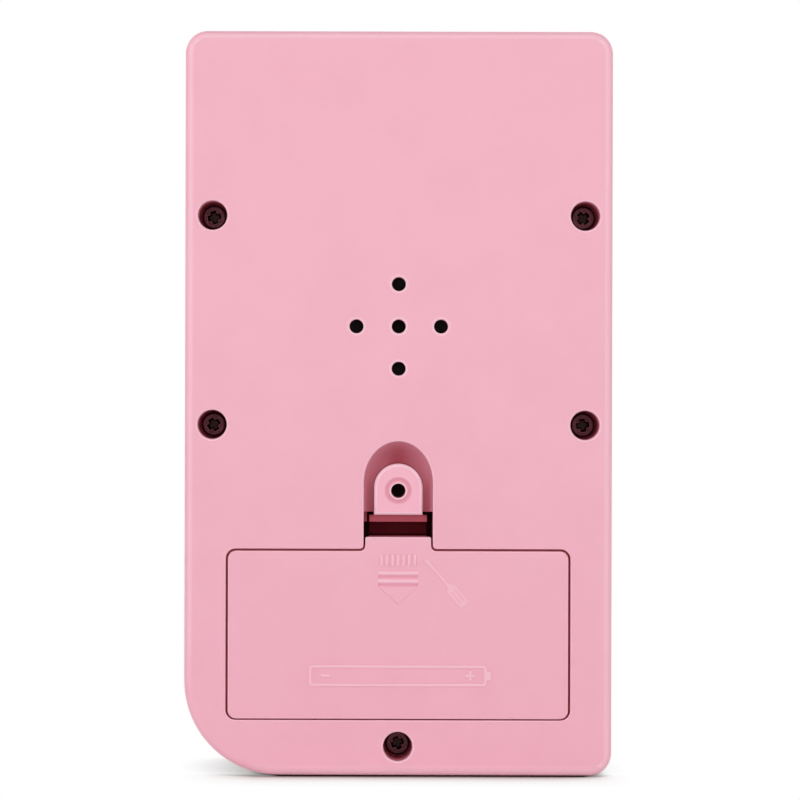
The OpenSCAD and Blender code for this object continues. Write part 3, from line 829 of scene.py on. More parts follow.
@dataclass(frozen=True)
class CasePlastic(MouldedPlastic):
    """Moulded plastic with painted highlights on the edges and marks of its outer face, and painted shade in
    what lies deeper.

    A patch is half its width, its middle's height and half its height. A span is where a mask starts and
    where it is full. What ends in "share" says how strongly a mask tints.
    """

    face: float = 0.0
    way: int = 1
    flat: Triple = (36.6, 67.0, 65.2)
    inner: float = 11.0
    big_corner: Triple = (-21.5, 17.0, 15.1)
    bay: Triple = (30.3, 25.4, 14.8)
    # painted highlights: the rims, the brim (faded by bend at the big corner), the foot (sole), the raised
    # marks and the sound-hole rings are tinted towards pale
    rim: Triple = (0.015, 0.18, 0.3)
    rim_share: float = 0.62
    brim: tuple[Span, Span] = ((0.0, 0.05), (0.2, 0.5))
    brim_share: float = 0.35
    bend: Span = (-9.0, 3.0)
    bend_share: float = 0.8
    sole: tuple[Span, Span] = ((0.4, 2.2), (0.7, 1.4))
    sole_share: float = 0.45
    mark: Span = (0.12, 0.19)
    mark_share: float = 0.5
    sounds: Spot = (80.8, 7.6)
    sound_ring: tuple[Span, Span] = ((1.5, 1.8), (0.02, 0.3))
    sound_share: float = 0.6
    # painted shade: depth ramps, each with its share, that tint towards a deep red
    deep: Sequence[Triple] = ((0.25, 1.1, 0.38), (1.2, 3.9, 0.42), (4.2, 6.6, 0.06))
    # painted red shade in the gap round the cover's opening: its patch, its depths and its share
    seam: Triple = (31.4, 25.6, 16.1)
    seam_depth: Span = (0.06, 0.25)
    seam_share: float = 0.8
    # painted shade in the thumb recess: its patch, the sides that are spared, the depths where it grows and
    # its share
    bowl: Triple = (7.0, 53.9, 6.5)
    bowl_side: Span = (0.6, 5.2)
    bowl_depth: Span = (1.8, 3.9)
    bowl_share: float = 0.24
    # less painted shade at the bowl's sides, in the bay's patch under the cover and round the post
    side_less_shade: float = 0.52
    less_shade_patch: Triple = (31.4, 26.3, 16.4)
    less_shade_share: float = 0.7
    # post: its height, the radius of its painted dark hole, and the radius round it with less painted shade
    post: Triple = (51.25, 1.25, 2.9)
    # painted dark shade at the bottom of the slot: where it starts and is full, and its share
    deepest: Span = (8.0, 9.4)
    deepest_share: float = 0.96
    matt: Spot = (0.4, 0.3)
    # the colour of the painted highlights
    pale: Colour = tone(255, 212, 224)
    # the colour of the painted shade
    painted_shade: Colour = tone(176, 18, 48)
    painted_gap_shade: Colour = tone(214, 62, 92)
    # the colour of the painted dark shade
    dark: Colour = tone(60, 4, 11)

    def middle(self, at: Site) -> Signal:
        """Masks the flat of the outer face with what lies behind it.

        Args:
            at: the place.

        Returns:
            The mask, 0 along the case's rounded edge and beyond.
        """
        x, z, radius = self.big_corner
        corner = (at.x < x) * (at.z < z) * (at.away(x, z) > radius)
        return at.patch(self.flat) * (at.depth < self.inner) * (1 - corner)

    def rings(self, at: Site) -> Signal:
        """Masks the painted highlight rings round the five sound holes.

        Args:
            at: the place.

        Returns:
            The mask.
        """
        middle, pitch = self.sounds
        folded = Site(abs(at.x), abs(at.z - middle), at.depth)
        spots = (0, 0), (pitch, 0), (0, pitch)
        first, second, third = (folded.away(*spot).fall(*self.sound_ring[0]) for spot in spots)
        return first.wider(second).wider(third) * at.depth.fall(*self.sound_ring[1])

    def polished(self, at: Site, middle: Signal, covered: Signal) -> Signal:
        """Masks the painted highlights: rims, brim, foot, raised marks and rings.

        Args:
            at: the place.
            middle: the mask of the flat of the outer face.
            covered: the same without the battery bay.

        Returns:
            The mask.
        """
        depth = at.depth
        edge = covered * (depth > self.rim[0]) * depth.fall(*self.rim[1:])
        bend = (self.big_corner[0] - at.x).rise(*self.bend) * (self.big_corner[1] - at.z).rise(*self.bend)
        brim = (1 - middle) * (1 - bend * self.bend_share)
        brim = brim * depth.rise(*self.brim[0]) * depth.fall(*self.brim[1])
        sole = at.z.fall(*self.sole[0]) * depth.fall(*self.sole[1])
        marks = (0 - depth).rise(*self.mark)
        pale = (edge * self.rim_share).wider(brim * self.brim_share).wider(sole * self.sole_share)
        return pale.wider(marks * self.mark_share).wider(self.rings(at) * self.sound_share)

    def surface(self, net: Net) -> tuple[Socket, Signal]:
        """Lays the painted highlights, the painted shade, the painted red shade of the gap and the painted
        dark of the depths over the colour.

        Args:
            net: the material's nodes.

        Returns:
            The colour and the roughness.
        """
        colour, roughness = super().surface(net)
        at = Site.on(net, self.face, self.way)
        middle = self.middle(at)
        covered = middle * (1 - at.patch(self.bay))
        bowl = at.patch(self.bowl)
        side = bowl * abs(at.x).rise(*self.bowl_side)
        # painted shade: the bowl darkens with depth, except at its sides
        dim = (bowl - side) * at.depth.rise(*self.bowl_depth) * self.bowl_share
        from_post = at.away(0.0, self.post[0])
        less_shade = at.patch(self.less_shade_patch).wider(from_post < self.post[2])
        # painted shade that grows with depth in the recess, the wells and the slot, and roughens the surface
        # there
        painted_shade = sum(at.depth.rise(start, end) * share for start, end, share in self.deep)
        painted_shade_mask = covered * painted_shade * (1 - side * self.side_less_shade) * (1 - less_shade * self.less_shade_share)
        # painted shade: a deep red in the gap round the cover's opening
        seam = at.patch(self.seam) * at.depth.rise(*self.seam_depth)
        # painted shade: near black at the bottom of the slot and in the post's pilot hole
        gloom = (at.depth.rise(*self.deepest) * self.deepest_share).wider(dim)
        gloom = covered * gloom.wider(from_post < self.post[1])
        # painted highlights on the rims, the brim, the foot, the raised marks and round the sound holes
        colour = net.mix(self.polished(at, middle, covered), colour, self.pale)
        # painted shade in what lies deeper
        colour = net.mix(painted_shade_mask, colour, self.painted_shade)
        # painted red shade in the gap round the cover's opening
        colour = net.mix(covered * seam * self.seam_share, colour, self.painted_gap_shade)
        # painted dark shade in the depths
        return net.mix(gloom, colour, self.dark), roughness + painted_shade_mask * self.matt[0] + gloom * self.matt[1]


@dataclass(frozen=True)
class DrilledPlastic(CasePlastic):
    """The case's plastic with a painted highlight ring round its hole, a painted highlight on the pad's rim
    and painted shade in the countersink.
    """

    centre: Spot = (0.0, 51.25)
    outside: float = 1.0
    # painted highlights: the ring round the hole and the pad's rim; painted shade in the countersink
    ring: Triple = (1.2, 1.42, 1.56)
    ring_share: float = 0.5
    pad_edge: float = 3.2
    pad_rim: Triple = (0.42, 0.8, 1.05)
    pad_share: float = 0.8
    sink: Triple = (1.6, 2.1, 2.6)
    sink_share: float = 0.3
    white: Colour = tone(255, 232, 238)

    def surface(self, net: Net) -> tuple[Socket, Signal]:
        """Lays the painted highlight ring, the painted highlight on the pad's rim and the painted shade of
        the countersink over the colour.

        Args:
            net: the material's nodes.

        Returns:
            The colour and the roughness.
        """
        colour, roughness = super().surface(net)
        at = Site.on(net)
        away, outer = at.away(*self.centre), at.depth < self.outside
        # masks of the painted shade in the countersink, the painted highlight ring round the hole and the
        # painted highlight on the pad's rim
        sunk = outer * away.rise(*self.sink[:2]) * away.fall(*self.sink[1:])
        ring = outer * (away > self.ring[0]) * away.fall(*self.ring[1:])
        lit = (away > self.pad_edge) * (at.depth > self.pad_rim[0]) * at.depth.fall(*self.pad_rim[1:])
        # lays the painted highlight on the pad's rim, the painted shade in the countersink and the painted
        # highlight ring
        colour = net.mix(lit * self.pad_share, colour, self.pale)
        colour = net.mix(sunk * self.sink_share, colour, self.painted_shade)
        return net.mix(ring * self.ring_share, colour, self.white), roughness


@dataclass(frozen=True)
class Metal(Finish):
    """Plated or blackened metal with fine scratches."""

    colour: Colour
    worn: Colour
    roughness: float = 0.3
    metallic: float = 1.0
    scratch: float = 0.25
    patch: float = 1.6

    def tint(self, net: Net, patches: Signal) -> Socket:
        """The colour with its worn patches."""
        return net.mix((patches - 0.45) * 3.0, self.colour, self.worn)

    def build(self) -> Material:
        """Makes the material.

        Returns:
            The material.
        """
        net = Net.fresh(self.name)
        streaks = net.noise(self.scratch, 3.0, (1.0, 1.0, 7.0))
        patches = net.noise(self.patch, 3.0)
        return net.finish(
            base_color=self.tint(net, patches),
            metallic=self.metallic,
            roughness=self.roughness + streaks.swing(0.22) + patches.swing(0.12),
            normal=net.bump(streaks + patches * 0.5, 0.3, 0.01),
        )


@dataclass(frozen=True)
class ScrewSteel(Metal):
    """Blackened steel, rubbed bright at the driver's edges with a painted highlight there, and painted shade
    in the cross.
    """

    top: float = 5.2
    rubbed: Span = (0.005, 0.1)
    rubbed_and_lit_share: float = 0.3
    cross: Span = (0.2, 0.5)
    bright: Colour = tone(156, 122, 128)
    dark: Colour = tone(36, 5, 7)

    def tint(self, net: Net, patches: Signal) -> Socket:
        """Lays the rubbed edge with its painted highlight and the painted shade of the cross over the worn
        colour.

        Args:
            net: the material's nodes.
            patches: where the metal is worn.

        Returns:
            The colour.
        """
        depth = Site.on(net, self.top).depth
        # rub wear and a painted highlight just under the head's top
        rubbed = (depth > self.rubbed[0]) * (depth < self.rubbed[1])
        worn = net.mix(rubbed * self.rubbed_and_lit_share, super().tint(net, patches), self.bright)
        # painted shade that deepens into the cross
        return net.mix(depth.rise(*self.cross), worn, self.dark)


@dataclass(frozen=True)
class Matt(Finish):
    """A matt surface such as rubber, foam, paper or solder mask, with grains of its own size."""

    colour: Colour
    shade: Colour
    roughness: float = 0.75
    grain: float = 0.4
    grain_depth: float = 0.03

    def build(self) -> Material:
        """Makes the material.

        Returns:
            The material.
        """
        net = Net.fresh(self.name)
        grain = net.noise(self.grain, 3.0)
        cloud = net.noise(self.grain * 9)
        return net.finish(
            base_color=net.mix((grain * 0.5 + cloud * 0.5 - 0.35) * 2.5, self.colour, self.shade),
            roughness=self.roughness + cloud.swing(0.16),
            normal=net.bump(grain, 0.5, self.grain_depth),
        )


@dataclass(frozen=True)
class Clear(Finish):
    """Clear acrylic with a faint haze and fine hair scratches."""

    colour: Colour
    alpha: float
    roughness: float = 0.05

    def build(self) -> Material:
        """Makes the material.

        Returns:
            The material.
        """
        net = Net.fresh(self.name)
        haze = net.noise(6.0, 3.0)
        hairs = net.noise(0.3, stretch=(1.0, 1.0, 9.0))
        return net.finish(
            base_color=self.colour,
            roughness=self.roughness + haze * 0.05 + hairs.swing(0.03),
            alpha=self.alpha + haze.swing(0.04),
            normal=net.bump(hairs, 0.05, 0.004),
            ior=1.49,
        )


@dataclass(frozen=True)
class Display(Finish):
    """Grey-green display glass with the faint grid of its dark cells."""

    pitch: float
    centre: Spot
    half: Spot
    gap: float = 0.18
    cell_share: float = 0.36
    ground: tuple[Colour, Colour] = (tone(150, 160, 140), tone(160, 170, 148))
    dark: Colour = tone(92, 100, 90)

    def build(self) -> Material:
        """Makes the material.

        Returns:
            The material.
        """
        net = Net.fresh(self.name)
        x, _, height = net.axes()
        across, up = x - self.centre[0], height - self.centre[1]
        gap = self.gap * self.pitch
        line = (across.repeat(self.pitch) < gap).wider(up.repeat(self.pitch) < gap)
        cell = (abs(across) < self.half[0]) * (abs(up) < self.half[1]) * (1 - line)
        cloud = net.noise(7.0)
        return net.finish(
            base_color=net.mix(cell * self.cell_share, net.mix(cloud, *self.ground), self.dark),
            roughness=0.12 + cloud * 0.06,
            normal=net.bump(cell, 0.1, 0.01),
        )


@dataclass(frozen=True)
class Sleeve(Finish):
    """A cell's shrink-wrapped sleeve with its bare metal ends."""

    ends: Span
    colour: Colour = tone(70, 80, 104)
    creased: Colour = tone(58, 66, 84)
    band: Colour = tone(176, 172, 160)
    band_half: float = 1.2
    metal: Colour = tone(196, 196, 192)

    def build(self) -> Material:
        """Makes the material.

        Returns:
            The material.
        """
        net = Net.fresh(self.name)
        x, _, _ = net.axes()
        metal = (x < self.ends[0]) + (x > self.ends[1])
        stripe = abs(x - sum(self.ends) / 2) < self.band_half
        crease = net.noise(1.1, 3.0, (0.3, 1.0, 1.0))
        wrap = net.mix(stripe, net.mix(crease, self.colour, self.creased), self.band)
        return net.finish(
            base_color=net.mix(metal, wrap, self.metal),
            metallic=metal * 0.95,
            roughness=0.3 + crease.swing(0.14),
            normal=net.bump(crease, 0.2, 0.03),
            ior=1.5,
        )


PINK = (tone(243, 178, 195), tone(240, 174, 191))
NOWHERE = (0.0, 0.0, 0.0)


@dataclass(frozen=True)
class Finishes:
    """Every finish that the console needs."""

    # the case, front and latch finishes carry painted highlights and painted shade
    case: CasePlastic = CasePlastic("pink_plastic", *PINK)
    front: CasePlastic = CasePlastic(
        "pink_front_plastic", *PINK, face=27.0, way=-1, deep=((0.6, 4.0, 0.3),), seam=NOWHERE, bowl=NOWHERE,
        post=NOWHERE, less_shade_patch=NOWHERE, sound_share=0.0,
    )
    latch: DrilledPlastic = DrilledPlastic(
        "pink_latch_plastic", tone(248, 182, 200), tone(245, 178, 196), seam=NOWHERE, post=NOWHERE,
        deep=((0.8, 1.4, 0.4), (1.4, 2.9, 0.4), (4.2, 6.6, 0.18)), deepest=(7.0, 8.6),
    )
    # the red in the screw's colours is a painted reflection of the pink walls of its well
    screw: ScrewSteel = ScrewSteel("blackened_screw", tone(72, 20, 30), tone(96, 44, 54), 0.5, 0.7, 0.2)
    contact: Metal = Metal("nickel_contact", tone(205, 203, 196), tone(180, 176, 165), 0.24)
    zinc: Metal = Metal("zinc_screw", tone(190, 190, 182), tone(160, 158, 148), 0.34)
    magnet: Metal = Metal("plated_magnet", tone(178, 178, 176), tone(150, 150, 146), 0.3)
    basket: Metal = Metal("passivated_steel", tone(96, 96, 98), tone(74, 74, 76), 0.45, 0.6)
    foil: Metal = Metal("reflector_foil", tone(206, 208, 203), tone(188, 190, 186), 0.38)
    paper: Matt = Matt("speaker_paper", tone(14, 12, 12), tone(22, 19, 19), 0.9, 0.3)
    board: Matt = Matt("solder_mask", tone(28, 92, 52), tone(22, 74, 42), 0.4, 0.9, 0.01)
    resin: Matt = Matt("black_resin", tone(16, 16, 17), tone(28, 28, 29), 0.22, 0.8, 0.02)
    sleeve: Matt = Matt("capacitor_sleeve", tone(26, 34, 74), tone(34, 42, 84), 0.32, 0.6, 0.01)
    lacquer: Matt = Matt("resistor_lacquer", tone(206, 178, 132), tone(186, 158, 116), 0.4, 0.3, 0.01)
    white: MouldedPlastic = MouldedPlastic("white_plastic", tone(232, 231, 226), tone(224, 223, 217))
    strip: Matt = Matt("strip_rubber", tone(92, 92, 96), tone(70, 70, 74), 0.7, 0.25)
    foam: Matt = Matt("foam_gasket", tone(26, 26, 26), tone(44, 44, 44), 0.95, 0.35, 0.08)
    print: MouldedPlastic = MouldedPlastic("border_print", tone(52, 50, 60), tone(46, 44, 54), 0.3)
    rubber: Matt = Matt("mat_rubber", tone(146, 146, 149), tone(132, 132, 136), 0.7, 0.3)
    red: Matt = Matt("red_insulation", tone(176, 30, 32), tone(150, 24, 28), 0.4, 0.4, 0.01)
    key: MouldedPlastic = MouldedPlastic(
        "key_plastic", tone(246, 240, 233), tone(240, 233, 225), 0.3, 0.2, 0.003
    )
    lens: Clear = Clear("clear_acrylic", tone(170, 178, 186), 0.13)
    display: Display = Display("display_face", 1.8, (0.0, 99.0), (9.0, 18.0))
    upper_wrap: Sleeve = Sleeve("upper_sleeve", (-22.1, 26.3))
    lower_wrap: Sleeve = Sleeve("lower_sleeve", (-26.3, 22.1))


# ---------------------------------------------------------------- case


@dataclass
class Outline:
    """The case's outline: three small corners and one large one, with rounded outer edges."""

    half_w: float = 38.5
    height: float = 134.0
    corner: float = 4.0
    big_corner: float = 17.0
    edge: float = 1.6

    def blank(self, name: str, inset: float, depth: Span, round_at: float | None = None) -> Piece:
        """A solid with the outline moved inwards.

        Args:
            name: the object's name.
            inset: how far the outline moves inwards.
            depth: where the solid starts and ends.
            round_at: the depth of the face whose edge is rounded, if any.

        Returns:
            The solid.
        """
        half = self.half_w - inset
        body = Bench.block(name, span(0, half), depth, (inset, self.height - inset))
        small = Pick.along_depth(lambda x, h: x > 0 or h > self.height / 2)
        large = Pick.along_depth(lambda x, h: abs(x + half) < NEAR and abs(h - inset) < NEAR)
        Bench.round_off(body, small, self.corner - inset, 10)
        Bench.round_off(body, large, self.big_corner - inset, 28)
        if round_at is not None:
            Bench.round_off(body, Pick.on_plane(round_at), self.edge, 6)
        return body


@dataclass
class Latching:
    """Sizes that the rear shell, the cover and the latch share."""

    bay_mid: float = 25.35
    hooks: Spot = (-18.0, 18.0)
    channel_w: float = 12.45
    tongue_w: float = 11.85
    tongue_top: float = 42.95
    leg: Span = (41.75, 42.95)
    leg_w: float = 10.5
    bend_d: float = 9.5
    bend_t: float = 1.2
    ledge: Span = (45.55, 46.85)
    pad_w: float = 8.8
    pad_base: float = 46.85
    pad_arch: float = 51.75
    pad_d: float = 0.4
    pad_bottom: float = 5.4
    gap: float = 0.35
    pad_gap: float = 0.07
    slot_top: float = 47.45
    lock_h: float = 51.25
    well_back: float = 10.4


@dataclass
class RearShell:
    """The rear shell with its wells, sound holes, thumb recess and battery bay."""

    outline: Outline
    latching: Latching
    depth: float = 12.4
    wall: float = 2.0
    inner_wall: float = 1.2
    rebate: Spot = (1.0, 1.5)
    screws: Sequence[Spot] = ((-33.5, 100.7), (33.5, 100.7), (-33.5, 63.1), (33.5, 63.1), (0, 5.3))
    boss_r: float = 3.8
    well_r: float = 2.6
    well_d: float = 6.8
    shank_r: float = 1.35
    speaker_h: float = 80.8
    ring_r: Spot = (15.3, 14.1)
    ring_top: float = 5.0
    sound_pitch: float = 7.6
    sound_r: float = 1.25
    opening: Spot = (61.9, 30.9)
    opening_corner: float = 1.75
    sill: float = 0.16
    cheek_root: float = 0.5
    cheek_end: float = -5.65
    cheek_d: Span = (3.9, 6.4)
    cheek_h: Span = (45.6, 47.7)
    bay: Spot = (58.0, 29.7)
    seat_d: float = 1.85
    seat_t: float = 1.4
    bay_d: float = 16.85
    pocket_half: float = 3.3
    pocket_d: float = 4.6
    toe_d: float = 0.8
    toe_low: float = 1.75
    pocket_h: float = 2.65
    deep_well: Spot = (5.1, 58.55)
    scoop_d: float = 3.9
    scoop_top: Spot = (52.75, 7.4)
    scoop_steps: int = 12
    scoop_lap: float = 0.1
    post_r: Spot = (2.5, 1.0)
    post_gap: float = 0.5
    lap: float = 0.6
    rib: Spot = (3.2, 0.5)
    corner_round: float = 0.7
    lip: float = 0.25
    well_lip: float = 0.42

    def shell(self) -> Piece:
        """The hollow shell without its fittings.

        Returns:
            The shell.
        """
        body = self.outline.blank("rear_shell", 0, (0, self.depth), 0)
        hollow = self.outline.blank("hollow", self.wall, (self.wall, self.depth + OVER))
        inset, deep = self.rebate
        rebate = self.outline.blank("rebate", inset, (self.depth - deep, self.depth + OVER))
        return Bench.combine(body, Join.CUT, hollow, rebate)

    def fittings(self) -> list[Piece]:
        """The bosses, the bay's tray, the cover's seat, the latch's block and the loudspeaker's ring.

        Returns:
            The solids that the shell gets before it is cut.
        """
        lat, wall, mid = self.latching, self.inner_wall, self.latching.bay_mid
        parts = [Bench.rod("boss", at, self.boss_r, (OVER, self.depth)) for at in self.screws]
        for size, end in ((self.bay, self.bay_d + wall), (self.opening, self.seat_d + self.seat_t)):
            x, height = span(0, size[0] / 2 + wall), span(mid, size[1] / 2 + wall)
            parts.append(Bench.block("tray", x, (self.seat_d, end), height))
        x, height = span(0, lat.channel_w / 2 + wall), (lat.leg[0] - wall, sum(self.scoop_top) + wall)
        parts.append(Bench.block("block", x, (OVER, lat.well_back + wall), height))
        at, (outer, inner) = (0, self.speaker_h), self.ring_r
        ring = Bench.rod("ring", at, outer, (OVER, self.ring_top), 96)
        bore = Bench.rod("bore", at, inner, (self.wall, self.ring_top + OVER), 96)
        parts.append(Bench.combine(ring, Join.CUT, bore))
        return parts

    def opening_tool(self) -> Piece:
        """The cutter for the cover's opening and the tongue's channel.

        Returns:
            The cutter.
        """
        lat, (w, h) = self.latching, (size / 2 for size in self.opening)
        mid, half, depth = lat.bay_mid, lat.channel_w / 2, (-OVER, self.seat_d)
        tool = Bench.block("opening", span(0, w), depth, (mid - h + self.sill, mid + h))
        Bench.round_off(tool, Pick.along_depth(), self.opening_corner, 6)
        Bench.combine(tool, Join.ADD, Bench.block("channel", span(0, half), depth, (mid, lat.slot_top)))
        return Bench.round_off(tool, Pick.mirrored(half, mid + h), self.corner_round, 5)

    def bay_tools(self) -> list[Piece]:
        """The cutters for the bay, the hooks' pockets, and the latch's well and hole.

        Returns:
            The cutters.
        """
        lat, mid = self.latching, self.latching.bay_mid
        low, x, top = mid - self.opening[1] / 2, span(0, lat.channel_w / 2), lat.slot_top
        depth = self.seat_d - OVER, self.bay_d
        tools = [Bench.block("bay", span(0, self.bay[0] / 2), depth, span(mid, self.bay[1] / 2))]
        for hook in lat.hooks:
            for start, fall in ((self.wall, self.toe_low), (self.toe_d, 0)):
                depth, height = (start, self.pocket_d), (low - fall, low + self.pocket_h)
                tools.append(Bench.block("pocket", span(hook, self.pocket_half), depth, height))
        tools.append(Bench.block("well", x, (-OVER, lat.well_back), (lat.leg[0] - lat.gap, top)))
        start, end = self.deep_well
        tools.append(Bench.block("well", x, (start, lat.well_back), (top - OVER, end)))
        half, depth = lat.pad_w / 2 + lat.pad_gap, (self.scoop_d - self.scoop_lap, start + OVER)
        tools.append(Bench.arch("hole", half, top - OVER, lat.pad_arch, half, depth))
        return tools

    def scoop_tool(self) -> Piece:
        """The cutter for the thumb recess: a bowl that grows steep at its rim.

        Returns:
            The cutter.
        """
        lat, low = self.latching, self.latching.slot_top
        half, foot = lat.channel_w / 2, lat.pad_w / 2 + lat.pad_gap
        tool = Bench.arch("scoop", half, low, *self.scoop_top, (-OVER, 0))
        foot_w = foot / half
        foot_h = (lat.pad_arch + foot - low) / (sum(self.scoop_top) - low)
        last = (1.0, 1.0, 0.0)
        for k in range(1, self.scoop_steps + 1):
            turn = math.pi / 2 * k / self.scoop_steps
            share = 1 - math.cos(turn)
            now = (1 + (foot_w - 1) * share, 1 + (foot_h - 1) * share, self.scoop_d * math.sin(turn))
            Bench.pick(tool, Kind.FACES, Pick.flat_at(last[2]))
            Bench.pull(now[2] - last[2])
            Bench.stretch(now[0] / last[0], now[1] / last[1], low)
            last = now
        Bench.rest()
        return tool

    def drills(self) -> list[Piece]:
        """The cutters for the sound holes, the wells and the screws' shanks.

        Returns:
            The cutters.
        """
        pitch, middle = self.sound_pitch, self.speaker_h
        spots = [(pitch * x, middle + pitch * h) for x, h in ((0, 0), (1, 0), (-1, 0), (0, 1), (0, -1))]
        return [
            Bench.rods("sounds", spots, self.sound_r, (-OVER, self.wall + OVER), 40),
            Bench.rods("wells", self.screws, self.well_r, (-OVER, self.well_d), 56),
            Bench.rods("shanks", self.screws, self.shank_r, (self.well_d - OVER, self.depth + OVER), 24),
        ]

    def inserts(self) -> list[Piece]:
        """The locking screw's post with its pilot hole, the rib between the cells and the slot's cheek.

        Returns:
            The solids that the shell gets after it is cut.
        """
        lat, (outer, inner) = self.latching, self.post_r
        depth = lat.pad_bottom + self.post_gap, lat.well_back + self.lap
        post = Bench.rod("post", (0, lat.lock_h), outer, depth, 32)
        pilot = Bench.rod("pilot", (0, lat.lock_h), inner, (lat.pad_bottom, lat.well_back - self.lap), 24)
        high, half = self.rib
        depth, height = (self.bay_d - high, self.bay_d + self.lap), span(lat.bay_mid, half)
        rib = Bench.block("rib", span(0, self.bay[0] / 2), depth, height)
        x = -lat.channel_w / 2 - self.cheek_root, self.cheek_end
        cheek = Bench.block("cheek", x, self.cheek_d, self.cheek_h)
        return [Bench.combine(post, Join.CUT, pilot), rib, cheek]

    def build(self) -> Piece:
        """Makes the shell.

        Returns:
            The shell.
        """
        body = Bench.combine(self.shell(), Join.ADD, *self.fittings())
        tools = [self.opening_tool(), *self.bay_tools(), self.scoop_tool(), *self.drills()]
        Bench.combine(body, Join.CUT, *tools)
        Bench.combine(body, Join.ADD, *self.inserts())
        Bench.tidy(body)
        at_well = within(self.well_r + NEAR, *self.screws)
        Bench.round_off(body, Pick.on_plane(0, at_well), self.well_lip, 4)
        Bench.round_off(body, Pick.on_plane(0, lambda x, h: not at_well(x, h)), self.lip, 3)
        return Bench.smooth(body)


@dataclass
class CaseScrews:
    """Five cross-head screws deep in their wells."""

    places: Sequence[Spot]
    head_r: float = 2.25
    head: Span = (5.2, 6.8)
    head_edge: float = 0.65
    shank_r: float = 1.25
    end: float = 16.8
    arm_half: Spot = (0.54, 1.3)
    arm_d: float = 1.1
    arm_taper: float = 0.62
    arm_edge: float = 0.12
    arm_start: float = 0.2
    lap: float = 0.3
    turns: Sequence[float] = (12, 40, 31, 8, 22)

    def cross(self) -> Piece:
        """The cutter for the cross in the head, which tapers inwards.

        Returns:
            The cutter.
        """
        near, far = self.head[0] - self.arm_start, self.head[0] + self.arm_d
        arms = []
        for wide, high in (self.arm_half, self.arm_half[::-1]):
            arm = Bench.block("arm", span(0, wide), (near, far), span(0, high))
            Bench.pick(arm, Kind.FACES, Pick.flat_at(far))
            Bench.stretch(self.arm_taper, self.arm_taper)
            Bench.rest()
            arms.append(arm)
        return Bench.combine(arms[0], Join.ADD, arms[1])

    def model(self) -> Piece:
        """A screw on the axis x = 0, height = 0.

        Returns:
            The screw.
        """
        near, far = self.head
        body = Bench.rod("screw", (0, 0), self.head_r, self.head, 40)
        Bench.round_off(body, Pick.on_plane(near), self.head_edge, 4)
        shank = Bench.rod("shank", (0, 0), self.shank_r, (far - self.lap, self.end), 24)
        Bench.combine(body, Join.ADD, shank)
        Bench.combine(body, Join.CUT, self.cross())
        in_cross = within(self.head_r - self.head_edge, (0, 0))
        return Bench.round_off(body, Pick.on_plane(near, in_cross), self.arm_edge, 2)

    def build(self) -> Piece:
        """Makes all the screws, each turned its own way.

        Returns:
            The screws as one mesh.
        """
        model, parts = self.model(), []
        for (x, height), degrees in zip(self.places, self.turns):
            parts.append(Bench.move(Bench.copy_of(model, "screw"), (x, 0, height), degrees))
        Bench.drop(model)
        return Bench.smooth(Bench.gather("case_screw_set", parts), 50)


@dataclass
class FrontShell:
    """The front shell with its lip, bosses, posts, key holes and screen opening."""

    outline: Outline
    screws: Sequence[Spot]
    keys: Sequence[tuple[str, Spot, float]]
    depth: Span = (12.4, 27.0)
    wall: float = 2.0
    groove: float = 0.3
    lip: Span = (11.0, 13.3)
    lip_inset: float = 1.1
    lip_clear: float = 4.1
    boss_r: float = 3.2
    shank_r: float = 1.3
    shank_end: float = 16.85
    posts: Sequence[float] = (14.96, 72.0, 126.0)
    post_x: float = 26.7
    post: Spot = (2.2, 21.4)
    post_hole: Spot = (0.95, 24.0)
    key_gap: float = 0.15
    screen_h: float = 99.0
    seat: Spot = (60.2, 54.2)
    seat_round: float = 3.1
    seat_d: float = 25.8
    window: Spot = (40.0, 38.0)
    edge: float = 0.25

    def shell(self) -> Piece:
        """The hollow shell with the groove along the parting line and the lip.

        Returns:
            The shell.
        """
        (near, far), (start, end) = self.depth, self.lip
        body = self.outline.blank("front_shell", 0, (near + self.groove, far), far)
        Bench.combine(body, Join.ADD, self.outline.blank("foot", self.groove, (near, near + OVER)))
        hollow = self.outline.blank("hollow", self.wall, (near - OVER, far - self.wall))
        Bench.combine(body, Join.CUT, hollow)
        lip = self.outline.blank("lip", self.lip_inset, self.lip)
        bore = self.outline.blank("bore", self.wall, (start - OVER, end + OVER))
        clear = Bench.rods("clear", self.screws, self.lip_clear, (start - OVER, near), 40)
        return Bench.combine(body, Join.ADD, Bench.combine(lip, Join.CUT, bore, clear))

    def build(self) -> Piece:
        """Makes the shell.

        Returns:
            The shell.
        """
        body, (near, far) = self.shell(), self.depth
        inner, (post_r, post_d), (hole_r, hole_d) = far - self.wall, self.post, self.post_hole
        spots = [(side * self.post_x, h) for h in self.posts for side in (-1, 1)]
        Bench.combine(
            body, Join.ADD,
            Bench.rods("bosses", self.screws, self.boss_r, (near, inner + OVER), 40),
            Bench.rods("posts", spots, post_r, (post_d, inner + OVER), 32),
        )
        depth = inner - OVER, far + OVER
        holes = [Bench.rod("hole", at, radius + self.key_gap, depth, 56) for _, at, radius in self.keys]
        Bench.combine(
            body, Join.CUT,
            Bench.rods("bores", self.screws, self.shank_r, (near - OVER, self.shank_end), 24),
            Bench.rods("pilots", spots, hole_r, (post_d - OVER, hole_d), 20),
            Bench.gather("holes", holes),
            Bench.plate("seat", self.screen_h, self.seat, (self.seat_d, far + OVER), self.seat_round),
            Bench.plate("window", self.screen_h, self.window, (inner - OVER, far)),
        )
        Bench.tidy(body)
        Bench.round_off(body, Pick.on_plane(far), self.edge, 3)
        return Bench.smooth(body)


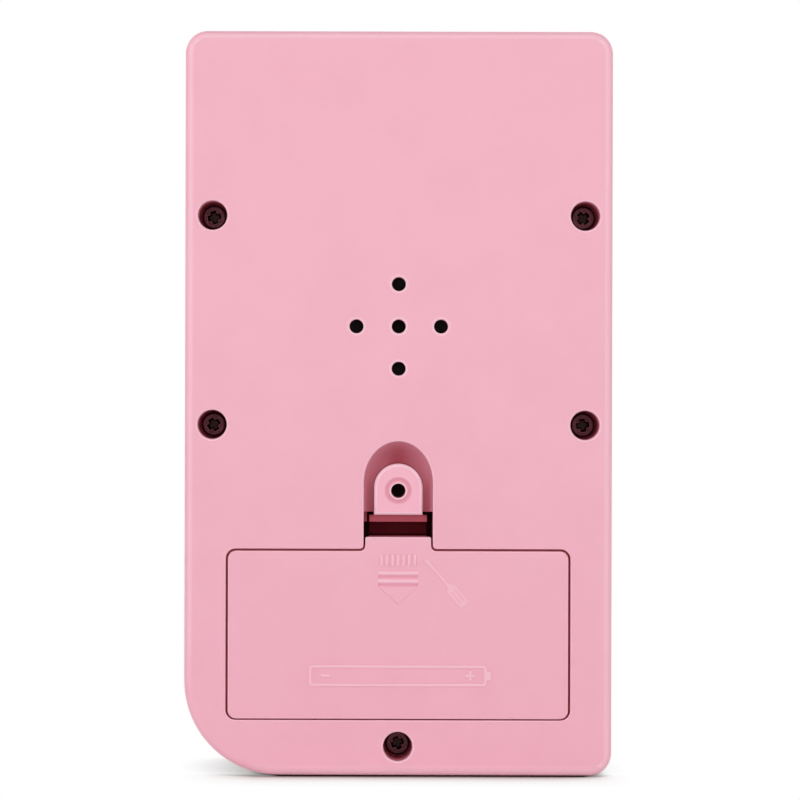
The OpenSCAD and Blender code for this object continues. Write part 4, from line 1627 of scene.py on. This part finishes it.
@dataclass
class Screen:
    """The clear lens over the display, and the display's glass with its polariser."""

    middle: float = 99.0
    lens: Spot = (60.0, 54.0)
    lens_d: Span = (26.0, 27.0)
    lens_round: float = 3.0
    lens_edge: float = 0.2
    glass: Spot = (46.0, 44.0)
    front_pane: Spot = (46.0, 42.0)
    glass_d: Span = (22.4, 24.4)
    glass_round: float = 0.3
    glass_edge: float = 0.1
    film: Spot = (44.0, 40.0)
    film_t: float = 0.4
    film_edge: float = 0.06

    def pane(self, name: str, size: Spot, depth: Span, corner: float, edge: float) -> Piece:
        """A flat pane with a soft front edge round the middle of the screen."""
        body = Bench.plate(name, self.middle, size, depth, corner, 8)
        return Bench.round_off(body, Pick.on_plane(depth[1]), edge, 3)

    def build_lens(self) -> Piece:
        """Makes the clear lens."""
        pane = self.pane("clear_screen_lens", self.lens, self.lens_d, self.lens_round, self.lens_edge)
        return Bench.smooth(pane)

    def build_glass(self) -> Piece:
        """Makes the display's glass: two panes and the film on the front one.

        Returns:
            The glass.
        """
        near, far = self.glass_d
        half, lap, corner, edge = (near + far) / 2, self.film_t / 2, self.glass_round, self.glass_edge
        rear = self.pane("display_glass", self.glass, (near, half), corner, edge)
        front = self.pane("front_pane", self.front_pane, (half - lap, far - lap), corner, edge)
        film = self.pane("film", self.film, (far - self.film_t, far), corner, self.film_edge)
        return Bench.smooth(Bench.combine(rear, Join.ADD, front, film))


@dataclass
class Keys:
    """The nine keys: a cross of four, one large one and a row of four."""

    places: Sequence[tuple[str, Spot, float]] = (
        ("key_up", (15.5, 52.5), 4.6), ("key_down", (15.5, 35.5), 4.6), ("key_left", (24.0, 44.0), 4.6),
        ("key_right", (7.0, 44.0), 4.6), ("key_action", (-17.0, 44.0), 7.5),
        ("key_function_1", (18.0, 65.0), 2.5), ("key_function_2", (6.0, 65.0), 2.5),
        ("key_function_3", (-6.0, 65.0), 2.5), ("key_function_4", (-18.0, 65.0), 2.5),
    )
    flange: Span = (24.0, 24.95)
    rim: float = 0.8
    top: float = 28.6
    edge: float = 0.8
    dish: float = 0.3
    rings: int = 5

    def model(self, radius: float) -> Piece:
        """A key on the axis x = 0, height = 0, with a rounded edge and a dished top.

        Args:
            radius: the key's radius.

        Returns:
            The key.
        """
        body = Bench.rod("key", (0, 0), radius, (self.flange[0], self.top), 64)
        Bench.round_off(body, Pick.on_plane(self.top), self.edge, 6)
        Bench.combine(body, Join.ADD, Bench.rod("flange", (0, 0), radius + self.rim, self.flange, 64))
        level = self.top
        for k in range(1, self.rings + 1):
            Bench.pick(body, Kind.FACES, Pick.flat_at(level))
            bpy.ops.mesh.inset(thickness=(radius - self.edge) / (self.rings + 1) * MM)
            share = k / self.rings
            fall = level - (self.top - self.dish * share * (2 - share))
            bpy.ops.transform.translate(value=(0, -fall * MM, 0))
            Bench.rest()
            level -= fall
        return Bench.smooth(body, 35)

    def build(self) -> dict[str, Piece]:
        """Makes the keys.

        Returns:
            One object for each key, under the name of its solid.
        """
        models = {radius: self.model(radius) for radius in {row[2] for row in self.places}}
        made = {}
        for name, at, radius in self.places:
            twin = Bench.copy_of(models[radius], name.replace("key_", "cap_"))
            made[name] = Bench.move(twin, (at[0], 0, at[1]))
        for model in models.values():
            Bench.drop(model)
        return made


@dataclass
class Cells:
    """Two AA cells that lie side by side and point opposite ways."""

    depth: float = 9.35
    upper: float = 32.7
    lower: float = 18.0
    length: float = 50.5
    radius: float = 7.2
    edge: float = 0.45
    button: Spot = (2.6, 1.2)
    button_edge: float = 0.4
    button_end: float = 27.95
    lap: float = 0.6
    button_steps: Sequence[Spot] = ((0.75, 0.0), (0.25, -0.3))
    flat_steps: Sequence[Spot] = ((0.8, 0.0), (0.3, 0.25))

    def on_rim(self, edge: bmesh.types.BMEdge) -> bool:
        """Accepts the edges round the two ends."""
        a, b = (place(v.co) for v in edge.verts)
        return abs(a.y - b.y) < NEAR and all(abs(math.hypot(v.x, v.z) - self.radius) < NEAR for v in (a, b))

    def model(self) -> Piece:
        """A cell along the depth, with the end of its button at depth 0.

        Returns:
            The cell.
        """
        start, (button_r, button_h) = -self.length, self.button
        body = Bench.rod("cell", (0, 0), self.radius, (start, -button_h), 72)
        for end, moves in ((-button_h, self.button_steps), (start, self.flat_steps)):
            for inset, move in moves:
                Bench.step(body, Pick.cap_at(end), inset, move)
        button = Bench.rod("button", (0, 0), button_r, (-button_h - self.lap, 0), 40)
        Bench.combine(body, Join.ADD, Bench.round_off(button, Pick.on_plane(0), self.button_edge, 4))
        return Bench.round_off(body, self.on_rim, self.edge, 4)

    def build(self) -> list[Piece]:
        """Makes the cells.

        Returns:
            The upper and the lower cell.
        """
        model, made = self.model(), []
        for name, way, height in (("upper_cell", 1, self.upper), ("lower_cell", -1, self.lower)):
            to = way * self.button_end, self.depth, height
            made.append(Bench.smooth(Bench.move(Bench.copy_of(model, name), to, way * 90, "Z"), 35))
        Bench.drop(model)
        return made


# ---------------------------------------------------------------- battery cover and latch


@dataclass
class BatteryCover:
    """The battery cover: its plate and tongue, hooks, spring leg and raised marks."""

    latching: Latching
    plate: Spot = (61.2, 30.2)
    thick: float = 1.8
    lap: float = 0.3
    corner: float = 1.5
    inner_corner: float = 0.95
    outer_corner: float = 0.35
    edge: float = 0.25
    hook_half: float = 2.8
    hook_end: float = 3.3
    hook_h: float = 1.35
    toe_start: float = 2.2
    toe_h: Span = (-1.5, 0.5)
    mark_h: float = 0.2
    mark_root: float = 0.3
    mark_edge: float = 0.07
    groove: float = 0.2
    rib_groove: float = 0.06
    bars: Sequence[float] = (10.95, 9.5)
    bar: Triple = (3.6, 0.5, 0.75)
    ribs: Triple = (3.35, 3.2, 5.2)
    rib_half: float = 0.25
    arrow_h: float = 0.12
    arrow: Spot = (3.5, 3.3)
    arrow_top: float = 8.7
    arrow_slope: float = 6.0
    driver_h: float = 0.16
    driver_bars: Sequence[tuple[Span, float]] = (
        ((0, 1.1), 0.5), ((1.0, 6.3), 0.3), ((6.2, 6.9), 0.7), ((6.8, 11.0), 1.05)
    )
    handle_round: float = 0.8
    flutes: Sequence[Span] = ((-0.5, -0.28), (0.28, 0.5))
    flute_ends: Spot = (0.8, 1.0)
    flute_bottom: float = -0.08
    driver_turn: float = -49.0
    driver_at: Spot = (4.9, 13.6)
    cell: Spot = (32.0, 3.8)
    cell_h: float = 7.8
    cell_line: float = 0.5
    cell_round: Spot = (0.6, 0.4)
    cell_edge: float = 0.08
    nub: tuple[Span, float] = ((15.9, 16.8), 0.8)
    plus: tuple[Span, float] = ((12.1, 13.9), 0.25)
    stem: tuple[Span, float] = ((12.75, 13.25), 0.9)
    minus: tuple[Span, float] = ((-13.9, -12.1), 0.25)

    def panel(self) -> Piece:
        """The plate with its tongue, and grooves where the bars and ribs stand.

        Returns:
            The panel.
        """
        lat, mid = self.latching, self.latching.bay_mid
        half, depth = lat.tongue_w / 2, (0, self.thick)
        body = Bench.plate("cover", mid, self.plate, depth, self.corner)
        Bench.combine(body, Join.ADD, Bench.block("tongue", span(0, half), depth, (mid, lat.tongue_top)))
        Bench.round_off(body, Pick.mirrored(half, mid + self.plate[1] / 2), self.inner_corner, 5)
        Bench.round_off(body, Pick.mirrored(half, lat.tongue_top), self.outer_corner, 3)
        Bench.round_off(body, Pick.on_plane(0), self.edge, 3)
        half, high, fall = self.bar
        rows = [(half, self.groove, (mid + h - fall, mid + h + high / 2)) for h in self.bars]
        half, near, far = self.ribs
        rows.append((half, self.rib_groove, (lat.tongue_top - far, lat.tongue_top - near)))
        cuts = [Bench.block("groove", span(0, half), (-OVER, deep), height) for half, deep, height in rows]
        return Bench.combine(body, Join.CUT, *cuts)

    def grips(self) -> list[Piece]:
        """The spring leg and the two hooks under the plate.

        Returns:
            The leg and the hooks.
        """
        lat, root = self.latching, self.thick - self.lap
        low, (under, over) = lat.bay_mid - self.plate[1] / 2, self.toe_h
        parts = [Bench.block("leg", span(0, lat.leg_w / 2), (root, lat.bend_d), lat.leg)]
        for at in lat.hooks:
            x = span(at, self.hook_half)
            hook = Bench.block("hook", x, (root, self.hook_end), (low, low + self.hook_h))
            toe = Bench.block("toe", x, (self.toe_start, self.hook_end), (low + under, low + over))
            parts.append(Bench.combine(hook, Join.ADD, toe))
        return parts

    def bar_of(self, x: Span, height: Span, high: float | None = None) -> Piece:
        """A raised bar with sharp edges."""
        return Bench.block("bar", x, (-(high or self.mark_h), self.mark_root), height)

    def soften(self, obj: Piece, edge: float | None = None, high: float | None = None) -> Piece:
        """Rounds a raised mark's outer edges."""
        return Bench.round_off(obj, Pick.on_plane(-(high or self.mark_h)), edge or self.mark_edge, 2)

    def shingle(self, low: float) -> Piece:
        """A raised bar whose lower side falls away in a slope, into its groove.

        Args:
            low: the height where its flat top starts.

        Returns:
            The bar.
        """
        half, high, fall = self.bar
        body = self.bar_of(span(0, half), (low - fall, low + high))
        Bench.cut_away(body, (0, -self.mark_h, low), (0, -fall, -self.mark_h - self.groove))
        return self.soften(body)

    def push_mark(self) -> list[Piece]:
        """Ribs, bars and an arrow that point down.

        Returns:
            The marks.
        """
        top, mid, (half, high) = self.latching.tongue_top, self.latching.bay_mid, self.arrow
        height, tip = (top - self.ribs[2], top - self.ribs[1]), mid + self.arrow_top
        parts = [self.soften(self.bar_of(span(x, self.rib_half), height)) for x in range(-3, 4)]
        parts += [self.shingle(mid + h) for h in self.bars]
        arrow = self.bar_of(span(0, half), (tip - high, tip), self.arrow_h)
        for side in (-1, 1):
            Bench.cut_away(arrow, (side * half, 0, tip), (side * high, -self.arrow_slope, -half))
        return [*parts, self.soften(arrow, high=self.arrow_h)]

    def driver_mark(self) -> list[Piece]:
        """A raised screwdriver, from its blade to the end of its handle.

        Returns:
            The mark.
        """
        parts = []
        for (start, end), half in self.driver_bars:
            bar = self.bar_of((start, end), span(0, half), self.driver_h)
            if half > 1:
                Bench.round_off(bar, Pick.along_depth(lambda x, h: x > start + 1), self.handle_round, 4)
                x = start + self.flute_ends[0], end - self.flute_ends[1]
                depth = -OVER, self.flute_bottom
                Bench.combine(bar, Join.CUT, *(Bench.block("flute", x, depth, h) for h in self.flutes))
            parts.append(self.soften(bar, high=self.driver_h))
        to = self.driver_at[0], 0, self.latching.bay_mid + self.driver_at[1]
        return [Bench.move(Bench.gather("driver", parts), to, self.driver_turn)]

    def cell_mark(self) -> list[Piece]:
        """A raised outline of a cell with its two pole signs.

        Returns:
            The marks.
        """
        h, (outer, inner) = self.latching.bay_mid - self.plate[1] / 2 + self.cell_h, self.cell_round
        body = Bench.plate("cell", h, self.cell, (-self.mark_h, self.mark_root), outer, 3)
        hole = self.cell[0] - 2 * self.cell_line, self.cell[1] - 2 * self.cell_line
        Bench.combine(body, Join.CUT, Bench.plate("inner", h, hole, (-OVER, OVER), inner, 3))
        rows = self.nub, self.plus, self.minus, self.stem
        *signs, stem = (self.bar_of(x, span(h, half)) for x, half in rows)
        Bench.combine(signs[1], Join.ADD, stem)
        return [self.soften(body, self.cell_edge), *map(self.soften, signs)]

    def build(self) -> Piece:
        """Makes the cover."""
        parts = [self.panel(), *self.grips(), *self.push_mark(), *self.driver_mark(), *self.cell_mark()]
        return Bench.smooth(Bench.gather("battery_cover_shell", parts))


@dataclass
class BatteryLatch:
    """The arched thumb pad with its hole and countersink, and the spring under it."""

    latching: Latching
    hole_r: float = 1.3
    sink_r: float = 2.45
    sink_d: float = 0.5
    pad_edge: float = 0.7
    catch_d: float = 2.6
    catch_edge: float = 0.2
    web: Spot = (0.3, 0.4)
    bend: Spot = (0.25, 0.2)
    collar: Triple = (0.42, 0.08, 1.0)
    collar_edge: float = 0.16
    sink_edge: float = 0.12

    def spring(self) -> list[Piece]:
        """The ledge with its catch, the web under the pad and the bend of the spring.

        Returns:
            The solids that the pad stands on.
        """
        lat, start = self.latching, self.latching.pad_d + self.catch_d
        half, leg = lat.pad_w / 2, span(0, lat.leg_w / 2)
        ledge = Bench.block("ledge", leg, (start, lat.bend_d), lat.ledge)
        deeper, over = self.web
        depth, height = (start + deeper, lat.pad_bottom), (lat.ledge[0] + over, lat.pad_base + OVER)
        web = Bench.block("web", span(0, half), depth, height)
        under, over = self.bend
        depth, height = (lat.bend_d - lat.bend_t, lat.bend_d), (lat.tongue_top + under, lat.pad_base - over)
        bend = Bench.block("bend", leg, depth, height)
        return [Bench.round_off(ledge, Pick.on_plane(start), self.catch_edge, 3), web, bend]

    def build(self) -> Piece:
        """Makes the latch.

        Returns:
            The latch.
        """
        lat, face, sink = self.latching, self.latching.pad_d, self.sink_d
        half, at, (wider, near, far) = lat.pad_w / 2, (0, lat.lock_h), self.collar
        pad = Bench.arch("latch", half, lat.pad_base, lat.pad_arch, half, (face, lat.pad_bottom))
        Bench.round_off(pad, Pick.on_plane(face), self.pad_edge, 6)
        Bench.combine(pad, Join.ADD, *self.spring())
        ends = lat.bend_d + OVER, lat.bend_d
        hole, bore = (Bench.rod("hole", at, self.hole_r, (-OVER, end), 48) for end in ends)
        cone = Bench.rod("sink", at, self.sink_r + sink, span(face, sink), 64, self.sink_r - sink)
        Bench.combine(pad, Join.CUT, cone, hole)
        collar = Bench.rod("collar", at, self.hole_r + wider, (face + near, face + far), 48)
        Bench.combine(collar, Join.CUT, bore)
        Bench.round_off(collar, Pick.on_plane(face + near), self.collar_edge, 3)
        Bench.combine(pad, Join.ADD, collar)
        Bench.tidy(pad)
        Bench.round_off(pad, Pick.on_plane(face, within(self.sink_r + sink, at)), self.sink_edge, 3)
        return Bench.smooth(pad, 50)


# ---------------------------------------------------------------- studio


@dataclass(frozen=True)
class Lamp:
    """A soft rectangular lamp that looks at the console's middle, in metres and watts."""

    name: str
    at: Triple
    size: Spot
    power: float
    mirrored: bool = True
    target: Triple = (0.0, 0.0, 0.067)

    def build(self) -> None:
        """Hangs the lamp; one that isn't mirrored doesn't show in glossy surfaces."""
        light = bpy.data.lights.new(self.name, "AREA")
        light.shape, light.energy = "RECTANGLE", self.power
        light.size, light.size_y = self.size
        obj = bpy.data.objects.new(self.name, light)
        bpy.context.scene.collection.objects.link(obj)
        obj.location = self.at
        obj.visible_glossy = self.mirrored
        aim = Vector(self.target) - Vector(self.at)
        obj.rotation_mode = "QUATERNION"
        obj.rotation_quaternion = aim.to_track_quat("-Z", "Y")


@dataclass
class Studio:
    """The floor, the lamps and the camera.

    The floor's shadow is painted: the shades "under" and "front" pair how open the floor is with how bright
    it looks.
    """

    distance: float = 460.0
    eye: Spot = (-5.0, 64.5)
    frame_w: float = 143.7
    shift: Spot = (0.0366, 0.0213)
    roll: float = 0.16
    sensor: float = 36.0
    floor_w: float = 2.4
    floor_at: Triple = (0.0, 0.3, -0.00005)
    paper: Colour = (0.9, 0.9, 0.9, 1.0)
    # the painted shadow: its reach, where it closes in at the foot and in front, and its levels
    shadow_reach: float = 14.0
    foot: Sequence[Span] = ((-27.0, -21.5), (33.5, 37.5))
    fore: Sequence[Span] = ((-40.0, -26.0), (36.0, 42.0))
    fore_depth: Span = (-0.6, 3.2)
    ambient: float = 0.195
    under: Sequence[Spot] = (
        (0.0, 0.1), (0.03, 0.35), (0.08, 0.48), (0.15, 0.58), (0.24, 0.7), (0.33, 0.8), (0.42, 0.88),
        (0.52, 0.95), (0.65, 1.0),
    )
    under_pink: float = 0.1
    front: Sequence[Spot] = (
        (0.5, 0.015), (0.53, 0.2), (0.56, 0.5), (0.61, 0.7), (0.68, 0.81), (0.74, 0.88), (0.8, 0.93),
        (0.88, 0.96), (1.0, 1.0),
    )
    front_pink: float = 0.5
    lamps: Sequence[Lamp] = (
        Lamp("top_box", (0.0, -1.45, 1.50), (2.0, 1.2), 7.9),
        Lamp("front_box", (0.0, -1.9, 0.12), (1.0, 0.7), 4.2),
        Lamp("left_box", (-1.05, -1.55, 0.60), (0.5, 1.5), 8.0),
        Lamp("right_box", (1.05, -1.55, 0.60), (0.5, 1.5), 6.2),
        Lamp("back_box", (0.0, 1.75, 0.95), (2.0, 1.2), 22.0, mirrored=False),
        Lamp("left_strip", (-1.2, -0.1, 0.45), (0.5, 1.4), 4.6, mirrored=False),
        Lamp("right_strip", (1.2, -0.1, 0.45), (0.5, 1.4), 3.8, mirrored=False),
    )

    def direct(self, net: Net) -> Signal:
        """Tells the rays that see the surroundings as they are from those that gather light.

        Args:
            net: the nodes of the floor or the world.

        Returns:
            1 for the rays that see, 0 for those that gather.
        """
        paths = net.add("ShaderNodeLightPath").outputs
        seen = Signal(net, paths["Is Camera Ray"]).wider(paths["Is Glossy Ray"])
        return seen.wider(paths["Is Transmission Ray"])

    def shade(self, net: Net, sky: Socket, pink: float, levels: Sequence[Spot]) -> Socket:
        """The floor's painted shadow.

        Args:
            net: the floor's nodes.
            sky: how open the floor is.
            pink: how pink the dark end is, from 0 to 1, a painted bounce of the console's colour.
            levels: pairs of how open the floor is and how bright it looks, both from 0 to 1.

        Returns:
            The colour of the painted shadow.
        """
        stops = [(at, (g, g * (1 - pink * (1 - g)), g * (1 - pink * (1 - g)), 1)) for at, g in levels]
        return net.add("ShaderNodeValToRGB", {"stops": stops}, {0: sky}).outputs[0]

    def floor(self) -> None:
        """A pale floor whose glow carries the console's painted shadow, from ambient occlusion and the place
        on the floor.
        """
        Bench.rest()
        bpy.ops.mesh.primitive_plane_add(size=self.floor_w, location=self.floor_at)
        obj = Bench.settle("studio_floor")
        net = Net.fresh("pale_floor")
        net.finish(base_color=self.paper, roughness=0.9)
        reach = {"Distance": self.shadow_reach * MM}
        # painted shadow: the glow darkens with ambient occlusion, and by place at the foot and in front of
        # the console
        sky = net.add("ShaderNodeAmbientOcclusion", {"samples": 48}, reach).outputs["AO"]
        x, y, _ = net.axes()
        touch, before = (x.rise(*left) * x.fall(*right) for left, right in (self.foot, self.fore))
        near = touch.wider(before * (y - REAR).fall(*self.fore_depth))
        under = self.shade(net, sky, self.under_pink, self.under)
        shade = net.mix(near, under, self.shade(net, sky, self.front_pink, self.front))
        # the painted shadow glows for the rays that see the floor
        glow = net.add("ShaderNodeEmission", inputs={"Color": shade, "Strength": 1.0}).outputs[0]
        plain = net.node("Principled BSDF").outputs[0]
        both = net.add("ShaderNodeMixShader", inputs={0: self.direct(net), 1: plain, 2: glow})
        net.join(net.node("Material Output").inputs["Surface"], both.outputs[0])
        obj.data.materials.append(net.owner)

    def world(self) -> None:
        """A white surround that lights the console softly."""
        world = bpy.data.worlds.new("studio")
        bpy.context.scene.world = world
        net = Net(world)
        background = net.node("Background")
        net.join(background.inputs["Color"], (1, 1, 1, 1))
        net.join(background.inputs["Strength"], self.direct(net) * (1 - self.ambient) + self.ambient)

    def camera(self) -> None:
        """The camera, level and square to the rear face."""
        data = bpy.data.cameras.new("camera")
        data.sensor_width = self.sensor
        data.lens = self.sensor * self.distance / self.frame_w
        data.shift_x, data.shift_y = self.shift
        data.clip_start, data.clip_end = 0.01, 20
        obj = bpy.data.objects.new("camera", data)
        bpy.context.scene.collection.objects.link(obj)
        obj.location = Bench.spot(self.eye[0], -self.distance, self.eye[1])
        obj.rotation_euler = (math.radians(90), math.radians(-self.roll), 0)
        bpy.context.scene.camera = obj

    def build(self) -> None:
        """Sets up the whole studio."""
        bpy.context.scene.view_settings.view_transform = "Standard"
        self.floor()
        self.world()
        for lamp in self.lamps:
            lamp.build()
        self.camera()


# ---------------------------------------------------------------- assembly


@dataclass
class Console:
    """The whole console: new pieces in place of the solids that show, and finishes for the rest."""

    finishes: Finishes = field(default_factory=Finishes)
    outline: Outline = field(default_factory=Outline)
    latching: Latching = field(default_factory=Latching)
    made: dict[str, Material] = field(default_factory=dict)

    def dress(self, obj: Piece, finish: Finish) -> None:
        """Gives an object one finish all over, and makes the finish's material where it is new.

        Args:
            obj: the object.
            finish: the finish.
        """
        if finish.name not in self.made:
            self.made[finish.name] = finish.build()
        obj.data.materials.clear()
        obj.data.materials.append(self.made[finish.name])

    def mount(self, obj: Piece, finish: Finish, slot: Slot, body: str, *nodes: str) -> None:
        """Dresses a new piece, lets it ride on its body and stand for its solids.

        Args:
            obj: the new piece.
            finish: its finish.
            slot: the record's slot that it fills; not used.
            body: the body that it moves with.
            nodes: the solids that it stands for.
        """
        self.dress(obj, finish)
        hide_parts(*nodes)
        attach(obj, body)
        log.info("%s stands for %s: %d faces", obj.name, ", ".join(nodes), len(obj.data.polygons))

    def carried(self) -> None:
        """Finishes the solids whose shape is right as it is."""
        use = self.finishes
        kinds = {
            "speaker_frame": use.basket, "speaker_cone": use.paper, "speaker_magnet": use.magnet,
            "main_board": use.board, "board_screws": use.zinc, "chip_blob": use.resin,
            "capacitor": use.sleeve, "resistors": use.lacquer, "lcd_holder": use.white,
            "zebra_strips": use.strip, "lcd_reflector": use.foil, "lcd_gasket": use.foam,
            "screen_border": use.print, "direction_mat": use.rubber, "action_mat": use.rubber,
            "function_mat": use.rubber, "contact_positive": use.contact, "contact_negative": use.contact,
            "contact_bridge": use.contact, "battery_leads": use.red, "speaker_leads": use.red,
        }
        for name, finish in kinds.items():
            self.dress(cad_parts[name], finish)
        log.info("finished %d solids as they are", len(kinds))

    def build(self) -> None:
        """Makes every piece."""
        use, rear, keys, screen = self.finishes, RearShell(self.outline, self.latching), Keys(), Screen()
        self.mount(rear.build(), use.case, Slot.CASE, "console", "rear_case")
        self.mount(CaseScrews(rear.screws).build(), use.screw, Slot.SCREW, "console", "case_screws")
        cover, latch = BatteryCover(self.latching), BatteryLatch(self.latching)
        self.mount(cover.build(), use.case, Slot.CASE, "battery_cover", "battery_cover")
        self.mount(latch.build(), use.latch, Slot.CASE, "battery_latch", "battery_latch")
        front = FrontShell(self.outline, rear.screws, keys.places)
        self.mount(front.build(), use.front, Slot.CASE, "console", "front_case")
        self.mount(screen.build_lens(), use.lens, Slot.LENS, "console", "screen_lens")
        self.mount(screen.build_glass(), use.display, Slot.GLASS, "console", "lcd_glass")
        for name, piece in keys.build().items():
            self.mount(piece, use.key, Slot.KEY, name, name)
        upper, lower = Cells().build()
        self.mount(upper, use.upper_wrap, Slot.CELL, "console", "battery_upper")
        self.mount(lower, use.lower_wrap, Slot.CELL, "console", "battery_lower")
        self.carried()


def main() -> None:
    """Builds the console and the studio."""
    logging.basicConfig(level=logging.INFO, format="%(name)s: %(message)s")
    Console().build()
    Studio().build()


if __name__ == "__main__":
    main()
